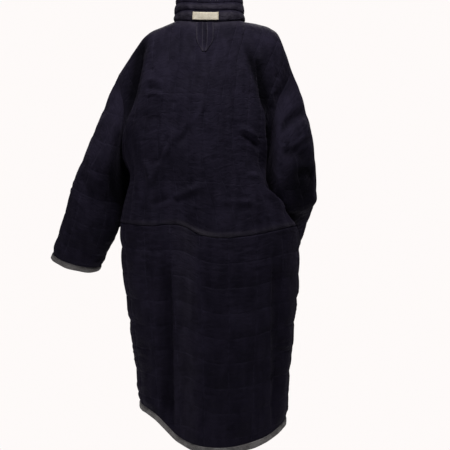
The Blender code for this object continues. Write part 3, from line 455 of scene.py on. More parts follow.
def depth_share(u):
    """How much of the body's depth a column has: 0 at the sides, 1 in the middle."""
    return np.interp(u, SECTION[0], SECTION[2])


def shoulder_point(rows, part):
    """Point of a shoulder line, from the armhole seam (0) to the collar (1)."""
    out = np.linspace(rows["out"][0], rows["out"][-1], DENSE)
    height = read(rows, "out", "height", out)
    steps = np.hypot(np.diff(out), np.diff(height))
    length = np.concatenate(((0.0,), np.cumsum(steps)))
    place = (1.0 - part) * length[-1]
    return np.interp(place, length, out), np.interp(place, length, height)


COLUMNS = 2 * CHANNELS_PER_SIDE
NECK_START = (COLUMNS - NECK_COLUMNS) / 2.0 / COLUMNS
NECK_END = 1.0 - NECK_START
UNDERARM = UNDERARM_ROW / UPPER_ROWS


def top_line(face, u):
    """Shoulder and neck line: the upper edge of the front and back panels."""
    left_out, left_high = shoulder_point(SHOULDER_LEFT, u / NECK_START)
    right_out, right_high = shoulder_point(SHOULDER_RIGHT, (1.0 - u) / NECK_START)
    turn = math.pi * np.clip((u - NECK_START) / (NECK_END - NECK_START), 0.0, 1.0)
    neck_depth = NECK_FRONT if face == FRONT else NECK_BACK
    drop = NECK_FRONT_DROP if face == FRONT else NECK_BACK_DROP
    x = np.where(u < NECK_START, -left_out, np.where(u > NECK_END, right_out,
                                                     -NECK_HALF_WIDTH * np.cos(turn)))
    z = np.where(u < NECK_START, left_high, np.where(u > NECK_END, right_high,
                                                     -drop * np.sin(turn) ** 2))
    return x, neck_depth * np.sin(turn), z


def skirt_across(u, row):
    """Place across the skirt of a column, at a row of the skirt's table."""
    left, right = SKIRT_BODY["left"][row], SKIRT_BODY["right"][row]
    return left + (right - left) * across_share(u)


def waist_height(face, u):
    """Height of the waist seam at a column."""
    rows = WAIST_FRONT if face == FRONT else WAIST_BACK
    return read(rows, "across", "height", skirt_across(u, 0))


def hem_below(face, u):
    """Distance from the waist seam down to the hem binding at a column."""
    rows = HEM_FRONT if face == FRONT else HEM_BACK
    return waist_height(face, u) - read(rows, "across", "height", skirt_across(u, -1))


def trough(x, z):
    """Depth of the soft troughs between the back and the sleeves."""
    depth = np.zeros(np.shape(x))
    for top_x, top, low_x, low, half, deep in zip(*BACK_TROUGHS.values()):
        part = (z - top) / (low - top)
        middle = top_x + (low_x - top_x) * part
        share = ease((part + 0.15) / 0.5) * ease((1.5 - part) / 0.5)
        depth = depth + deep * share * np.exp(-((x - middle) / half) ** 2)
    return depth


def upper_point(face, u, v):
    """Point of the body above the waist seam: u runs left to right, v from waist to shoulder."""
    u, v = np.broadcast_arrays(np.asarray(u, float), np.asarray(v, float))
    share = depth_share(u)
    side_left = read(UPPER_BODY, "up", "side_left", v)
    side_right = read(UPPER_BODY, "up", "side_right", v)
    pull_left = read(UPPER_BODY, "up", "seam_left", v) - side_left
    pull_right = read(UPPER_BODY, "up", "seam_right", v) - side_right
    body_x = side_left + (side_right - side_left) * across_share(u)
    body_x = body_x + np.where(u < 0.5, pull_left, pull_right) * (1.0 - share) ** 2
    top_x, top_y, top_z = top_line(face, u)
    x = body_x + (top_x - body_x) * v ** 3
    low = waist_height(face, u)
    z = low + (top_z - low) * v
    deep = read(UPPER_BODY, "up", "front" if face == FRONT else "back", v)
    seam = np.maximum(read(UPPER_BODY, "up", "seam_deep", v), 0.0) * (v > UNDERARM)
    near_neck = np.sin(math.pi * np.clip((u - NECK_START) / (NECK_END - NECK_START), 0.0, 1.0))
    power = SHOULDER_ROUND + (NECK_ROUND - SHOULDER_ROUND) * near_neck
    level = (1.0 - v ** TOP_POWER) ** power
    y = (seam + (deep - seam) * share) * level + top_y * (1.0 - level)
    points = np.stack((x, face * y, z), axis=-1)
    above = np.clip((v - UNDERARM) * UPPER_ROWS + 1.0, 0.0, 1.0)
    press = 1.0 - above * (1.0 - ease(np.minimum(u, 1.0 - u) * COLUMNS))
    return points + (clear_of_sleeves(points) - points) * press[..., None]


def skirt_point(face, u, below):
    """Point of the skirt at a distance below the waist seam."""
    u, below = np.broadcast_arrays(np.asarray(u, float), np.asarray(below, float))
    left = read(SKIRT_BODY, "below", "left", below)
    right = read(SKIRT_BODY, "below", "right", below)
    deep = read(SKIRT_BODY, "below", "front" if face == FRONT else "back", below)
    x = left + (right - left) * across_share(u)
    z = waist_height(face, u) - below
    y = deep * depth_share(u)
    if face == BACK:
        y = y - skirt_fold(x, below, depth_share(u))
    return clear_of_sleeves(np.stack((x, face * y, z), axis=-1))


def skirt_fold(x, below, share):
    """How far the skirt back is set in beside its large folds."""
    depth = np.zeros(np.shape(x))
    for top_x, low_x, top, low, fade, side, deep in zip(*SKIRT_FOLDS.values()):
        part = (below - top) / (low - top)
        beside = side * (x - top_x - (low_x - top_x) * part) / fade
        length = ease(part / 0.2) * ease((1.0 - part) / 0.2)
        depth = depth + deep * length * ease(beside / 0.15) * ease((1.0 - beside) / 0.85)
    return depth * ease(share / 0.4)


def sleeve_ring(rows, part, turn):
    """Points of a sleeve ring: turn 0 is the outside, a quarter turn on is the back."""
    keys = np.linspace(0.0, 1.0, len(rows["x"]))
    at = {name: read({"key": keys, "value": values}, "key", "value", part)
          for name, values in rows.items()}
    middle = np.stack((at["x"], at["y"], at["z"]), axis=-1)
    run = unit(np.stack((at["run_x"], at["run_y"], at["run_z"]), axis=-1))
    out = np.array((np.sign(rows["x"][0]), 0.0, 0.0)) * np.ones_like(run)
    out = unit(out - run * np.sum(out * run, axis=-1, keepdims=True))
    back = np.cross(run, out)
    back = back * -np.sign(back[..., 1:2])
    wide = (at["wide"] * np.cos(turn))[..., None]
    deep = (at["deep"] * np.sin(turn))[..., None]
    return middle + out * wide + back * deep


def cuff_run(rows):
    """The way a cuff's binding runs on from its sleeve."""
    return unit(np.array([rows[name][-1] - rows[name][-2] for name in ("x", "y", "z")]))


def sleeve_axis(rows):
    """The middle line of a sleeve with its cuff, and the radius that the body keeps clear of."""
    part = np.linspace(0.0, 1.0, 25)
    keys = np.linspace(0.0, 1.0, len(rows["x"]))
    line = np.stack([read({"key": keys, "value": rows[name]}, "key", "value", part)
                     for name in ("x", "y", "z")], axis=-1)
    widest = {"key": keys, "value": np.maximum(rows["wide"], rows["deep"])}
    radius = read(widest, "key", "value", part)
    first = unit(np.array([rows[name][0] for name in ("run_x", "run_y", "run_z")]))
    above = line[0] - first * np.array((UPPER_ARM_PRESS, UPPER_ARM_PRESS / 2.0))[:, None]
    line = np.concatenate((above, line, line[-1:] + cuff_run(rows) * CUFF_BINDING))
    clearance = SLEEVE_CLEARANCE["left" if rows["x"][0] < 0.0 else "right"]
    return line, np.pad(radius, (2, 1), mode="edge") + clearance


def clear_of_sleeves(points):
    """Press the body's sides in wherever a sleeve lies against them."""
    x = points[..., 0].copy()
    for rows in (SLEEVE_LEFT, SLEEVE_RIGHT):
        side = np.sign(rows["x"][0])
        for middle, radius in zip(*sleeve_axis(rows)):
            away = np.hypot(points[..., 1] - middle[1], points[..., 2] - middle[2])
            reach = side * middle[0] - np.sqrt(np.maximum(radius ** 2 - away ** 2, 0.0))
            reach = reach + PRESS_SLOPE * np.maximum(away - radius, 0.0)
            x = side * np.minimum(side * x, reach)
    return np.concatenate((x[..., None], points[..., 1:]), axis=-1)


def collar_point(turn, height):
    """Point of the stand collar: turn 0 is the centre front, half a turn the centre back."""
    turn, height = np.broadcast_arrays(np.asarray(turn, float), np.asarray(height, float))
    lean = COLLAR_LEAN * height / COLLAR_HEIGHT
    depth = np.where(np.cos(turn) > 0.0, NECK_FRONT, NECK_BACK)
    x = (NECK_HALF_WIDTH - lean) * np.sin(turn)
    y = (depth - lean) * np.cos(turn)
    drop = np.where(np.cos(turn) > 0.0, NECK_FRONT_DROP, NECK_BACK_DROP) * np.cos(turn) ** 2
    return np.stack((x, y, height - drop), axis=-1)


def soft_noise(across, along, seed):
    """Smooth unevenness between -1 and 1, with about one bump to each unit each way."""
    lattice = np.random.default_rng(seed).uniform(-1.0, 1.0, (LATTICE, LATTICE))
    column, row = np.floor(across).astype(int), np.floor(along).astype(int)
    beside, further = ease(across - column), ease(along - row)
    column, row = column % LATTICE, row % LATTICE
    next_column, next_row = (column + 1) % LATTICE, (row + 1) % LATTICE
    near = lattice[row, column] * (1.0 - beside) + lattice[row, next_column] * beside
    far = lattice[next_row, column] * (1.0 - beside) + lattice[next_row, next_column] * beside
    return near * (1.0 - further) + far * further


def crease_height(creases, across, along):
    """Height of creases at places across and along a piece, below 0 in a furrow."""
    height = np.zeros(np.shape(across))
    for from_across, from_along, to_across, to_along, half, high in creases:
        run_across, run_along = to_across - from_across, to_along - from_along
        length = math.hypot(run_across, run_along)
        off_across, off_along = across - from_across, along - from_along
        part = (off_across * run_across + off_along * run_along) / length ** 2
        beside = (off_across * run_along - off_along * run_across) / length
        beside = beside + 0.06 * length * np.sin(3.0 * part)
        fade = ease((part + 0.15) / 0.45) * ease((1.15 - part) / 0.45)
        height = height + high * fade * np.exp(-(beside / half) ** 2)
    return height


def line_distance(cells):
    """How far a place lies from its nearest stitched line, in cells of the quilting."""
    return np.abs((cells + 0.5) % 1.0 - 0.5)


def puckers(cells, along, seed):
    """Small gathers of the cloth beside a stitched line, across the line's own run."""
    near = np.exp(-(line_distance(cells) / PUCKER_REACH) ** 2)
    return PUCKER * near * soft_noise(cells * 2.0, along / PUCKER_STEP, seed)


def unevenness(across, along, seed):
    """Broad softness of padded cloth that has been worn."""
    broad = soft_noise(across / BROAD_STEP[0], along / BROAD_STEP[1], seed)
    small = soft_noise(across / SMALL_STEP[0], along / SMALL_STEP[1], seed + 1)
    return SOFT_BROAD * broad + SOFT_SMALL * small


def settled(wave):
    """Puff of padding that has settled, between its stitched lines and its middle."""
    return QUILT_SETTLED + (1.0 - QUILT_SETTLED) * wave ** QUILT_ROUND


def wrinkled(across, along, seed):
    """Short sharp wrinkles of crushed cotton, longer across than along."""
    bend = 0.5 * soft_noise(across / WRINKLE_BEND, along / WRINKLE_BEND, seed + 2)
    fine = soft_noise(across / WRINKLE_STEP[0] + bend, along / WRINKLE_STEP[1] + bend, seed)
    wide = soft_noise(across / WRINKLE_PATCH, along / WRINKLE_PATCH, seed + 1)
    return WRINKLE * (1.0 - 2.0 * np.abs(fine)) * ease(0.5 + wide)


def step_back(x, z, steps):
    """How far the cloth is set back on one side of each long edge, and back again beyond it."""
    depth = np.zeros(np.shape(x))
    for top_x, top, low_x, low, fade, side, deep in zip(*steps.values()):
        part = (z - top) / (low - top)
        beside = side * (x - top_x - (low_x - top_x) * part) / fade
        length = ease((part + 0.05) / 0.25) * ease((1.05 - part) / 0.25)
        depth = depth + deep * length * ease(beside / 0.16) * ease((1.0 - beside) / 0.84)
    return depth


def painted_shade(set_back, pulled):
    """Share of painted shade for a place that lies deep in a set-back part or a furrow."""
    furrow = np.clip(-pulled / DARKEST_FURROW, 0.0, 1.0)
    return np.clip(set_back / DARKEST_SET_BACK, 0.0, 1.0) + furrow * 0.5


def upper_relief(face, u, v, grid):
    """Height of the upper body's channels, cross lines, creases and ridge, its cells, and its share
    of painted shade.
    """
    seed = 11 if face == BACK else 31
    x, z = grid[..., 0], grid[..., 2]
    stray = soft_noise(x / LINE_STEP[0], z / LINE_STEP[1], seed)
    channel = CHANNELS_PER_SIDE * u + LINE_WAVER * stray
    wave = settled(np.abs(np.sin(math.pi * channel)))
    sides = np.minimum(u, 1.0 - u) * COLUMNS
    ends = ease(v / 0.035) * ease((1.0 - v) / 0.04) * ease(sides / 2.0)
    height = CHANNEL_PUFF * wave * ends
    cross = np.full(np.shape(x), 0.5)
    for line in CROSS_LINES:
        off = z - line - CROSS_WAVER * soft_noise(x / 0.08, x * 0.0, seed + 3)
        faint = ease(0.45 + soft_noise(x / 0.07, x * 0.0, seed + 15))
        height = height - CROSS_DEPTH * faint * np.exp(-(off / CROSS_HALF) ** 2) * ends
        cross = np.minimum(cross, np.abs(off) / SQUARE)
    height = height + puckers(channel, z, seed + 5) * ends
    creases = BACK_CREASES if face == BACK else FRONT_CREASES
    pulled = CREASE_GAIN * crease_height(zip(*creases.values()), x, z)
    soft = pulled + unevenness(x, z, seed + 7) + wrinkled(x, z, seed + 13)
    set_back = np.zeros(np.shape(x))
    if face == BACK:
        set_back = step_back(x, z, BACK_STEPS)
    soft = soft - set_back
    height = height + soft * ease(v / 0.10) * ease((1.0 - v) / 0.12) * ease(sides / 1.2)
    ridge = WAIST_RIDGE * ease((0.034 - v) / 0.022) * ease(v / 0.008)
    ridge = ridge * (1.0 + 0.35 * soft_noise(x / 0.018, x * 0.0, seed + 9))
    if face == BACK:
        height = height - trough(x, z) * ease((1.0 - v) / 0.08)
        set_back = set_back + trough(x, z)
        across = (x - LOOP_LEFT["across"][0]) / (LOOP_RIGHT["across"][0] - LOOP_LEFT["across"][0])
        down = z / LOOP_LEFT["height"][-1]
        under = ease((0.9 - np.abs(across - 0.5)) / 0.35) * ease((1.15 - down) / 0.25)
        height = height + (LOOP_SEAT - UNDER_LOOP - height) * under * ease((1.0 - v) / 0.04)
    return height + ridge, channel, cross, painted_shade(set_back, pulled)


def skirt_relief(face, u, below, hem, grid):
    """Height of the skirt's quilted squares and their softness, its cells, and its share of painted
    shade.
    """
    seed = 51 if face == BACK else 71
    x, z = grid[..., 0], grid[..., 2]
    stray = soft_noise(x / LINE_STEP[0], z / LINE_STEP[1], seed)
    across = COLUMNS / SQUARE_COLUMNS * u + 0.5 * LINE_WAVER * stray
    stray = soft_noise(x / LINE_STEP[0], z / LINE_STEP[1], seed + 1)
    down = below / SQUARE + 0.7 * LINE_WAVER * stray
    wave = settled(np.abs(np.sin(math.pi * across) * np.sin(math.pi * down)))
    sides = ease(u * COLUMNS) * ease((1.0 - u) * COLUMNS)
    low = ease((hem - below) / 0.02)
    height = SQUARE_PUFF * wave * sides * low
    height = height + (puckers(across, z, seed + 3) + puckers(down, x, seed + 5)) * sides * low
    creases = SKIRT_BACK_CREASES if face == BACK else SKIRT_FRONT_CREASES
    pulled = crease_height(zip(*creases.values()), x, z)
    soft = pulled + unevenness(x, z, seed + 7) + wrinkled(x, z, seed + 13)
    set_back = np.zeros(np.shape(x))
    if face == BACK:
        set_back = step_back(x, z, SKIRT_STEPS)
    height = height + (soft - set_back) * sides * ease(below / 0.03) * low
    topstitch = np.exp(-((below - WAIST_TOPSTITCH) / TOPSTITCH_HALF) ** 2)
    return height - TOPSTITCH_DEPTH * topstitch * sides, across, down, painted_shade(0.6 * set_back, pulled)


def sleeve_relief(side, grid, turns):
    """Height of a sleeve's quilting and creases, its cells, and its share of painted shade."""
    seed = 91 if side == "left" else 131
    start = grid[CAP_ROWS * FINE_UP].mean(axis=0)
    run = unit(grid[-1].mean(axis=0) - start)
    along = np.sum((grid - start) * run, axis=-1)
    down = np.linspace(0.0, 1.0, len(grid))[:, None] * np.ones_like(along)
    turn = turns[None, :] / (2.0 * math.pi) * np.ones_like(along)
    girth = SLEEVE_GIRTH * turn
    bay = along / SLEEVE_BAY + LINE_WAVER * soft_noise(turn * 8.0, down * 6.0, seed)
    strip = SLEEVE_LINES * turn
    wave = settled(np.abs(np.sin(math.pi * bay)))
    length_wave = np.abs(np.sin(math.pi * strip)) ** 0.4
    row = np.arange(len(grid))[:, None] / FINE_UP
    underarm = np.maximum(-np.cos(turns), 0.0)[None, :]
    flat = ease(row / (1.0 + UNDERARM_FLAT_ROWS * underarm)) * ease((2.0 * ARM_ROWS - row) / 0.6)
    height = SLEEVE_PUFF * wave * (1.0 - SLEEVE_LINE_SHARE + SLEEVE_LINE_SHARE * length_wave)
    height = height + puckers(bay, girth, seed + 3) + 0.6 * puckers(strip, along, seed + 5)
    rows = SLEEVE_CREASES[side]
    pulled = np.zeros(np.shape(turn))
    for shift in (-1.0, 0.0, 1.0):
        creases = [((b + shift) * SLEEVE_GIRTH, a * SLEEVE_LENGTH, (d + shift) * SLEEVE_GIRTH,
                    c * SLEEVE_LENGTH, half, high)
                   for a, b, c, d, half, high in zip(*rows.values())]
        pulled = pulled + crease_height(creases, girth, down * SLEEVE_LENGTH)
    soft = unevenness(girth, along, seed + 7) + wrinkled(girth, along, seed + 13)
    close = np.minimum(turn, 1.0 - turn)
    height = height + pulled
    hollow = np.zeros(np.shape(turn))
    for at_turn, at_down, half_turn, half_down, deep in zip(*SLEEVE_HOLLOWS[side].values()):
        away = ((turn - at_turn) / half_turn) ** 2 + ((down - at_down) / half_down) ** 2
        hollow = hollow + deep * np.exp(-away)
    height = (height - hollow + soft * ease(close / 0.04)) * flat
    if side == "left":
        at_turn, at_down, half_turn, half_down, high = PRESSED_SIDE
        away = ((turn - at_turn) / half_turn) ** 2 + ((down - at_down) / half_down) ** 2
        height = height + high * np.exp(-away)
    return height, strip, bay, painted_shade(1.6 * hollow, pulled)


def outward_normals(grid, closed):
    """Unscaled normals of one grid, turned away from the inside of its piece."""
    ring = np.concatenate((grid, grid[:, :1]), axis=1) if closed else grid
    face = np.cross(ring[1:, 1:] - ring[:-1, :-1], ring[1:, :-1] - ring[:-1, 1:])
    normals = np.zeros_like(ring)
    normals[:-1, :-1] += face
    normals[:-1, 1:] += face
    normals[1:, 1:] += face
    normals[1:, :-1] += face
    if closed:
        normals[:, 0] += normals[:, -1]
        normals = normals[:, :-1]
    middle = grid.mean(axis=1, keepdims=True) if closed else BODY_MIDDLE
    return normals * np.sign(np.sum((grid - middle) * normals))


def grid_normals(grids):
    """Normals of the base grids, shared where two grids have the same point."""
    points = np.concatenate([grid.reshape(-1, 3) for grid in grids.values()])
    own = np.concatenate([outward_normals(grid, name.startswith("sleeve")).reshape(-1, 3)
                          for name, grid in grids.items()])
    place = np.unique(np.round(points, 5), axis=0, return_inverse=True)[1].reshape(-1)
    sums = np.zeros((place.max() + 1, 3))
    np.add.at(sums, place, own)
    shared = unit(sums[place])
    normals = {}
    start = 0
    for name, grid in grids.items():
        count = grid.shape[0] * grid.shape[1]
        normals[name] = shared[start:start + count].reshape(grid.shape)
        start += count
    return normals


def draw_back(grid, edges, gap):
    """Moves that pull the named edges of a grid back from their seams by half a gap."""
    move = np.zeros_like(grid)
    if "first_row" in edges:
        move[0] += unit(grid[1] - grid[0]) * gap / 2.0
    if "last_row" in edges:
        move[-1] += unit(grid[-2] - grid[-1]) * gap / 2.0
    if "first_column" in edges:
        move[:, 0] += unit(grid[:, 1] - grid[:, 0]) * gap / 2.0
    if "last_column" in edges:
        move[:, -1] += unit(grid[:, -2] - grid[:, -1]) * gap / 2.0
    return move


ARMHOLE_STEPS = (UPPER_ROWS - UNDERARM_ROW) * FINE_UP
FINE_UNDERARM = UNDERARM_ROW * FINE_UP
FINE_ROWS = UPPER_ROWS * FINE_UP


def armhole_turn(face, row):
    """Which point of the armhole seam a row of a body panel ends on."""
    count = 2 * ARMHOLE_STEPS
    return FINE_ROWS - row if face == BACK else (count - FINE_ROWS + row) % count


def armhole_gaps(grids, normals):
    """Half gaps of each armhole seam, from body to sleeve, and the seam's normals in its folds."""
    gaps = {}
    for side, edge, beside in (("left", 0, FINE_ACROSS), ("right", -1, -1 - FINE_ACROSS)):
        sleeve = grids["sleeve_" + side]
        back = grids["back_upper"][::-1]
        front = grids["front_upper_" + side]
        toward = list(back[:ARMHOLE_STEPS, beside] - back[:ARMHOLE_STEPS, edge])
        toward.append(back[ARMHOLE_STEPS + FINE_UP, edge] - back[ARMHOLE_STEPS, edge])
        toward += list((front[:, beside] - front[:, edge])[FINE_UNDERARM + 1:FINE_ROWS])
        near, far = unit(np.array(toward)), unit(sleeve[FINE_UP] - sleeve[0])
        across = unit(far - near)
        for _ in range(FINE_UP):
            across = unit(across + (np.roll(across, 1, axis=0) + np.roll(across, -1, axis=0)) / 2.0)
        gaps[side] = across * ARMHOLE_GAP / 2.0
        folded = ease((np.linalg.norm(near + far, axis=-1, keepdims=True) - 0.5) / 0.5)
        seam = unit(normals["sleeve_" + side][0] * (1.0 - folded) + unit(near + far) * folded)
        for row in range(int(SEAM_BLEND)):
            share = 1.0 - row / SEAM_BLEND
            normals["sleeve_" + side][row] = unit(normals["sleeve_" + side][row] * (1.0 - share)
                                                  + seam * share)
        for face, name in ((BACK, "back_upper"), (FRONT, "front_upper_" + side)):
            for row in range(FINE_UNDERARM, FINE_ROWS + 1):
                at = seam[armhole_turn(face, row)]
                for column in range(int(SEAM_BLEND)):
                    share = 1.0 - column / SEAM_BLEND
                    place = column if edge == 0 else -1 - column
                    normals[name][row, place] = unit(normals[name][row, place] * (1.0 - share)
                                                     + at * share)
    return gaps


def leave_armhole(move, column, face, gaps):
    """Draw one side of a body panel back from its armhole seam."""
    for row in range(FINE_UNDERARM, FINE_ROWS + 1):
        move[row, column] = -gaps[armhole_turn(face, row)]
    for row in (FINE_UNDERARM, FINE_ROWS):
        move[row, column, 1] += face * SEAM_GAP
    return move


def shell(name, outer, inner, closed, ways, cells, painted_light, outside, inside):
    """A closed sheet between an outer and an inner grid, with the cloth's own coordinates and a
    point attribute of painted light: above 0 a painted highlight, below 0 a painted shade.
    """
    rows, columns = outer.shape[:2]
    count = rows * columns
    points = np.concatenate((outer.reshape(-1, 3), inner.reshape(-1, 3)))
    index = np.arange(count).reshape(rows, columns)
    around = np.concatenate((index, index[:, :1]), axis=1) if closed else index
    width = around.shape[1]
    place = np.arange(rows * width).reshape(rows, width)

    def quads(grid, shift):
        corners = (grid[:-1, :-1], grid[:-1, 1:], grid[1:, 1:], grid[1:, :-1])
        return np.stack([corner + shift for corner in corners], axis=-1).reshape(-1, 4)

    def strips(line, other):
        return np.stack((line[1:], line[:-1], other[:-1], other[1:]), axis=-1)

    faces = [quads(around, 0), quads(around, count)[:, ::-1]]
    corners = [quads(place, 0), quads(place, 0)[:, ::-1]]
    for line, spot in ((around[0], place[0]), (around[-1][::-1], place[-1][::-1])):
        faces.append(strips(line, line + count))
        corners.append(strips(spot, spot))
    if not closed:
        for line, spot in ((around[::-1, 0], place[::-1, 0]), (around[:, -1], place[:, -1])):
            faces.append(strips(line, line + count))
            corners.append(strips(spot, spot))
    inner_faces = range(len(faces[0]), 2 * len(faces[0]))
    faces = np.concatenate(faces)
    corners = np.concatenate(corners)
    a, b, c, d = (points[faces[:, corner]] for corner in range(4))
    volume = np.sum(a * np.cross(b, c)) + np.sum(a * np.cross(c, d))
    if volume < 0.0:
        faces, corners = faces[:, ::-1], corners[:, ::-1]
    mesh = bpy.data.meshes.new(name)
    mesh.from_pydata(points.tolist(), [], faces.tolist())
    for layer, values in (("cloth", ways), ("quilt", cells)):
        flat = np.stack([np.broadcast_to(value, (rows, width)) for value in values], axis=-1)
        loops = flat.reshape(-1, 2)[corners.reshape(-1)].reshape(-1)
        mesh.uv_layers.new(name=layer).data.foreach_set("uv", loops.astype(np.float32))
    # Point attribute of painted light: above 0 a painted highlight, below 0 a painted shade
    painted_light_layer = mesh.attributes.new("painted_light", "FLOAT", "POINT")
    painted_light_values = np.concatenate([np.broadcast_to(painted_light, (rows, columns)).reshape(-1)] * 2)
    painted_light_layer.data.foreach_set("value", painted_light_values.astype(np.float32))
    mesh.materials.append(outside)
    mesh.materials.append(inside)
    slots = np.zeros(len(faces), dtype=np.int32)
    slots[inner_faces.start:inner_faces.stop] = 1
    mesh.polygons.foreach_set("material_index", slots)
    mesh.shade_smooth()
    mesh.validate()
    mesh.update()
    piece = bpy.data.objects.new(name, mesh)
    bpy.context.collection.objects.link(piece)
    return piece


def wrap(values):
    """Values of a closed grid with its first column given again one whole turn on."""
    return np.concatenate((values, values[:, :1]), axis=1)


def lap_offset(u):
    """How far the right front passes under the left one at the centre front."""
    under = 1.0 - ease((u - 0.5 - LAP) / (2.0 * LAP))
    return (WALL + LAP_CLEARANCE) * under


def panel_columns(name):
    """Columns of a body panel: the whole back, or one front with a lap past the centre."""
    count = COLUMNS * FINE_ACROSS
    if name.endswith("left"):
        own = np.arange(count // 2 + 1) / count
        return np.concatenate((own, 0.5 + LAP * np.arange(1, LAP_STEPS + 1) / LAP_STEPS))
    if name.endswith("right"):
        own = np.arange(count // 2, count + 1) / count
        return np.concatenate((0.5 - LAP * np.arange(LAP_STEPS, 0, -1) / LAP_STEPS, own))
    return np.arange(count + 1) / count


def sleeve_grid(side, rings):
    """Base grid of a sleeve, from its armhole seam to the cuff binding."""
    edge = 0.0 if side == "left" else 1.0
    heights = np.linspace(1.0, UNDERARM, ARMHOLE_STEPS + 1)
    back_edge = upper_point(BACK, edge, heights)
    front_edge = upper_point(FRONT, edge, heights)
    seam = np.concatenate((back_edge, front_edge[-2:0:-1]))
    turns = np.arange(len(seam)) * 2.0 * math.pi / len(seam)
    first = sleeve_ring(rings, 0.0, turns)
    swell = np.where(np.sin(turns) > 0.0, CAP_SWELL_BACK[side], CAP_SWELL_FRONT[side])
    out = np.stack((np.sign(rings["x"][0]) * CAP_SWELL_OUT[side] * np.maximum(np.cos(turns), 0.0),
                    -swell * np.sin(turns), np.zeros_like(turns)), axis=-1)
    grid = []
    for part in np.arange(CAP_ROWS * FINE_UP) / (CAP_ROWS * FINE_UP):
        grid.append(seam + (first - seam) * part + out * math.sin(math.pi * part))
    for part in np.arange(ARM_ROWS * FINE_UP + 1) / (ARM_ROWS * FINE_UP):
        grid.append(sleeve_ring(rings, part, turns))
    grid = np.array(grid)
    return soften_join(grid, CAP_ROWS * FINE_UP), turns


def soften_join(grid, row):
    """Round off the bend between the sleeve's cap and its arm."""
    reach = FINE_UP
    for _ in range(3 * reach):
        middle = slice(row - reach, row + reach + 1)
        before = grid[row - reach - 1:row + reach]
        after = grid[row - reach + 1:row + reach + 2]
        grid[middle] = (grid[middle] * 2.0 + before + after) / 4.0
    return grid


def skirt_rows(hem):
    """Distances below the waist seam for each row and column, even and then down to the hem."""
    even = np.arange(SKIRT_EVEN_ROWS * FINE_UP + 1)[:, None] * SQUARE / 2.0 / FINE_UP
    even = even * np.ones_like(hem)[None, :]
    steps = SKIRT_HEM_ROWS * FINE_UP
    share = np.arange(1, steps + 1)[:, None] / steps
    return np.concatenate((even, even[-1] + (hem[None, :] - even[-1]) * share))


def cut_size(grid, closed=False):
    """Flat width and length of a panel, along its longest row and its middle column."""
    across = np.linalg.norm(np.diff(wrap(grid) if closed else grid, axis=1), axis=-1).sum(axis=1)
    along = np.linalg.norm(np.diff(grid, axis=0), axis=-1).sum(axis=0)
    ring = wrap(grid) if closed else grid
    face = np.cross(ring[1:, 1:] - ring[:-1, :-1], ring[1:, :-1] - ring[:-1, 1:]) / 2.0
    area = np.linalg.norm(face, axis=-1).sum()
    return float(across.max()), float(along.max()), float(area)


def hang(piece, node, grid, closed=False):
    """Hang a finished sheet of cloth on the root in place of its solid, which is hidden; its cut
    size is worked out but not used.
    """
    width, length, area = cut_size(grid, closed)
    width, length = round(width, 4), round(length, 4)
    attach(piece, "root")
    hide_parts(node)


def dress_upper(cloth, lining):
    """The back, the two fronts and the sleeves."""
    rows = np.linspace(0.0, 1.0, FINE_ROWS + 1)[:, None]
    names = ("back_upper", "front_upper_left", "front_upper_right")
    grids = {}
    for name in names:
        face = BACK if name == "back_upper" else FRONT
        grids[name] = upper_point(face, panel_columns(name)[None, :], rows)
    turns = None
    for side, rings in (("left", SLEEVE_LEFT), ("right", SLEEVE_RIGHT)):
        grids["sleeve_" + side], turns = sleeve_grid(side, rings)
    collar = collar_grid()
    belows, hems, skirts = skirt_grids()
    normals = grid_normals({**grids, "collar": collar, **skirts})
    gaps = armhole_gaps(grids, normals)
    for name in names:
        dress_upper_panel(name, rows, grids[name], normals[name], gaps, cloth, lining)
    for side in ("left", "right"):
        dress_sleeve(side, grids["sleeve_" + side], normals["sleeve_" + side], gaps[side],
                     turns, cloth, lining)
    dress_collar(collar, normals["collar"], cloth, lining)
    return belows, hems, skirts, normals


def dress_upper_panel(name, rows, grid, normals, gaps, cloth, lining):
    """One quilted panel above the waist seam."""
    face = BACK if name == "back_upper" else FRONT
    across = panel_columns(name)
    flat = normals.copy()
    flat[0, :, 2] = 0.0
    flat = unit(flat)
    edges = ["last_row", "first_column", "last_column"]
    lap = np.zeros(grid.shape[:2])
    if name == "front_upper_left":
        edges.remove("last_column")
    if name == "front_upper_right":
        edges.remove("first_column")
        lap = lap + lap_offset(across)[None, :]
    move = draw_back(grid, edges, SEAM_GAP)
    if name != "front_upper_right":
        move = leave_armhole(move, 0, face, gaps["left"])
    if name != "front_upper_left":
        move = leave_armhole(move, -1, face, gaps["right"])
    move[0, :, 2] += WAIST_GAP / 2.0
    if name == "front_upper_right":
        tuck = lap / lap.max() * NECK_TUCK
        move = move - UP * (tuck * ease((rows - 0.93) / 0.07))[..., None]
    base = grid + move - flat * lap[..., None]
    height, channel, cross, deep = upper_relief(face, across[None, :], rows, grid)
    height = height * (1.0 - lap / (WALL + LAP_CLEARANCE))
    inner = base - flat * WALL + flat * np.minimum(height, 0.0)[..., None]
    ways = (across[None, :] * GIRTH_HALF, rows * UPPER_TALL)
    # Painted highlight along the ridge of the waist seam, brightest near the middle, and on the
    # tops of the shoulders; painted shade where the cloth lies set back or in a furrow
    painted_highlight = 0.48 + 0.25 * soft_noise(grid[..., 0] / 0.030, grid[..., 0] * 0.0, 17)
    painted_highlight = painted_highlight + 0.62 * np.exp(-((grid[..., 0] + 0.01) / 0.06) ** 2)
    painted_light = painted_highlight * ease((0.032 - rows) / 0.018)
    painted_light = np.maximum(painted_light, ease((rows - 0.94) / 0.06) * 0.35) - deep
    piece = shell("quilted_" + name, base + flat * height[..., None], inner, False, ways,
                  (channel, cross), painted_light, cloth, lining)
    hang(piece, name, grid)


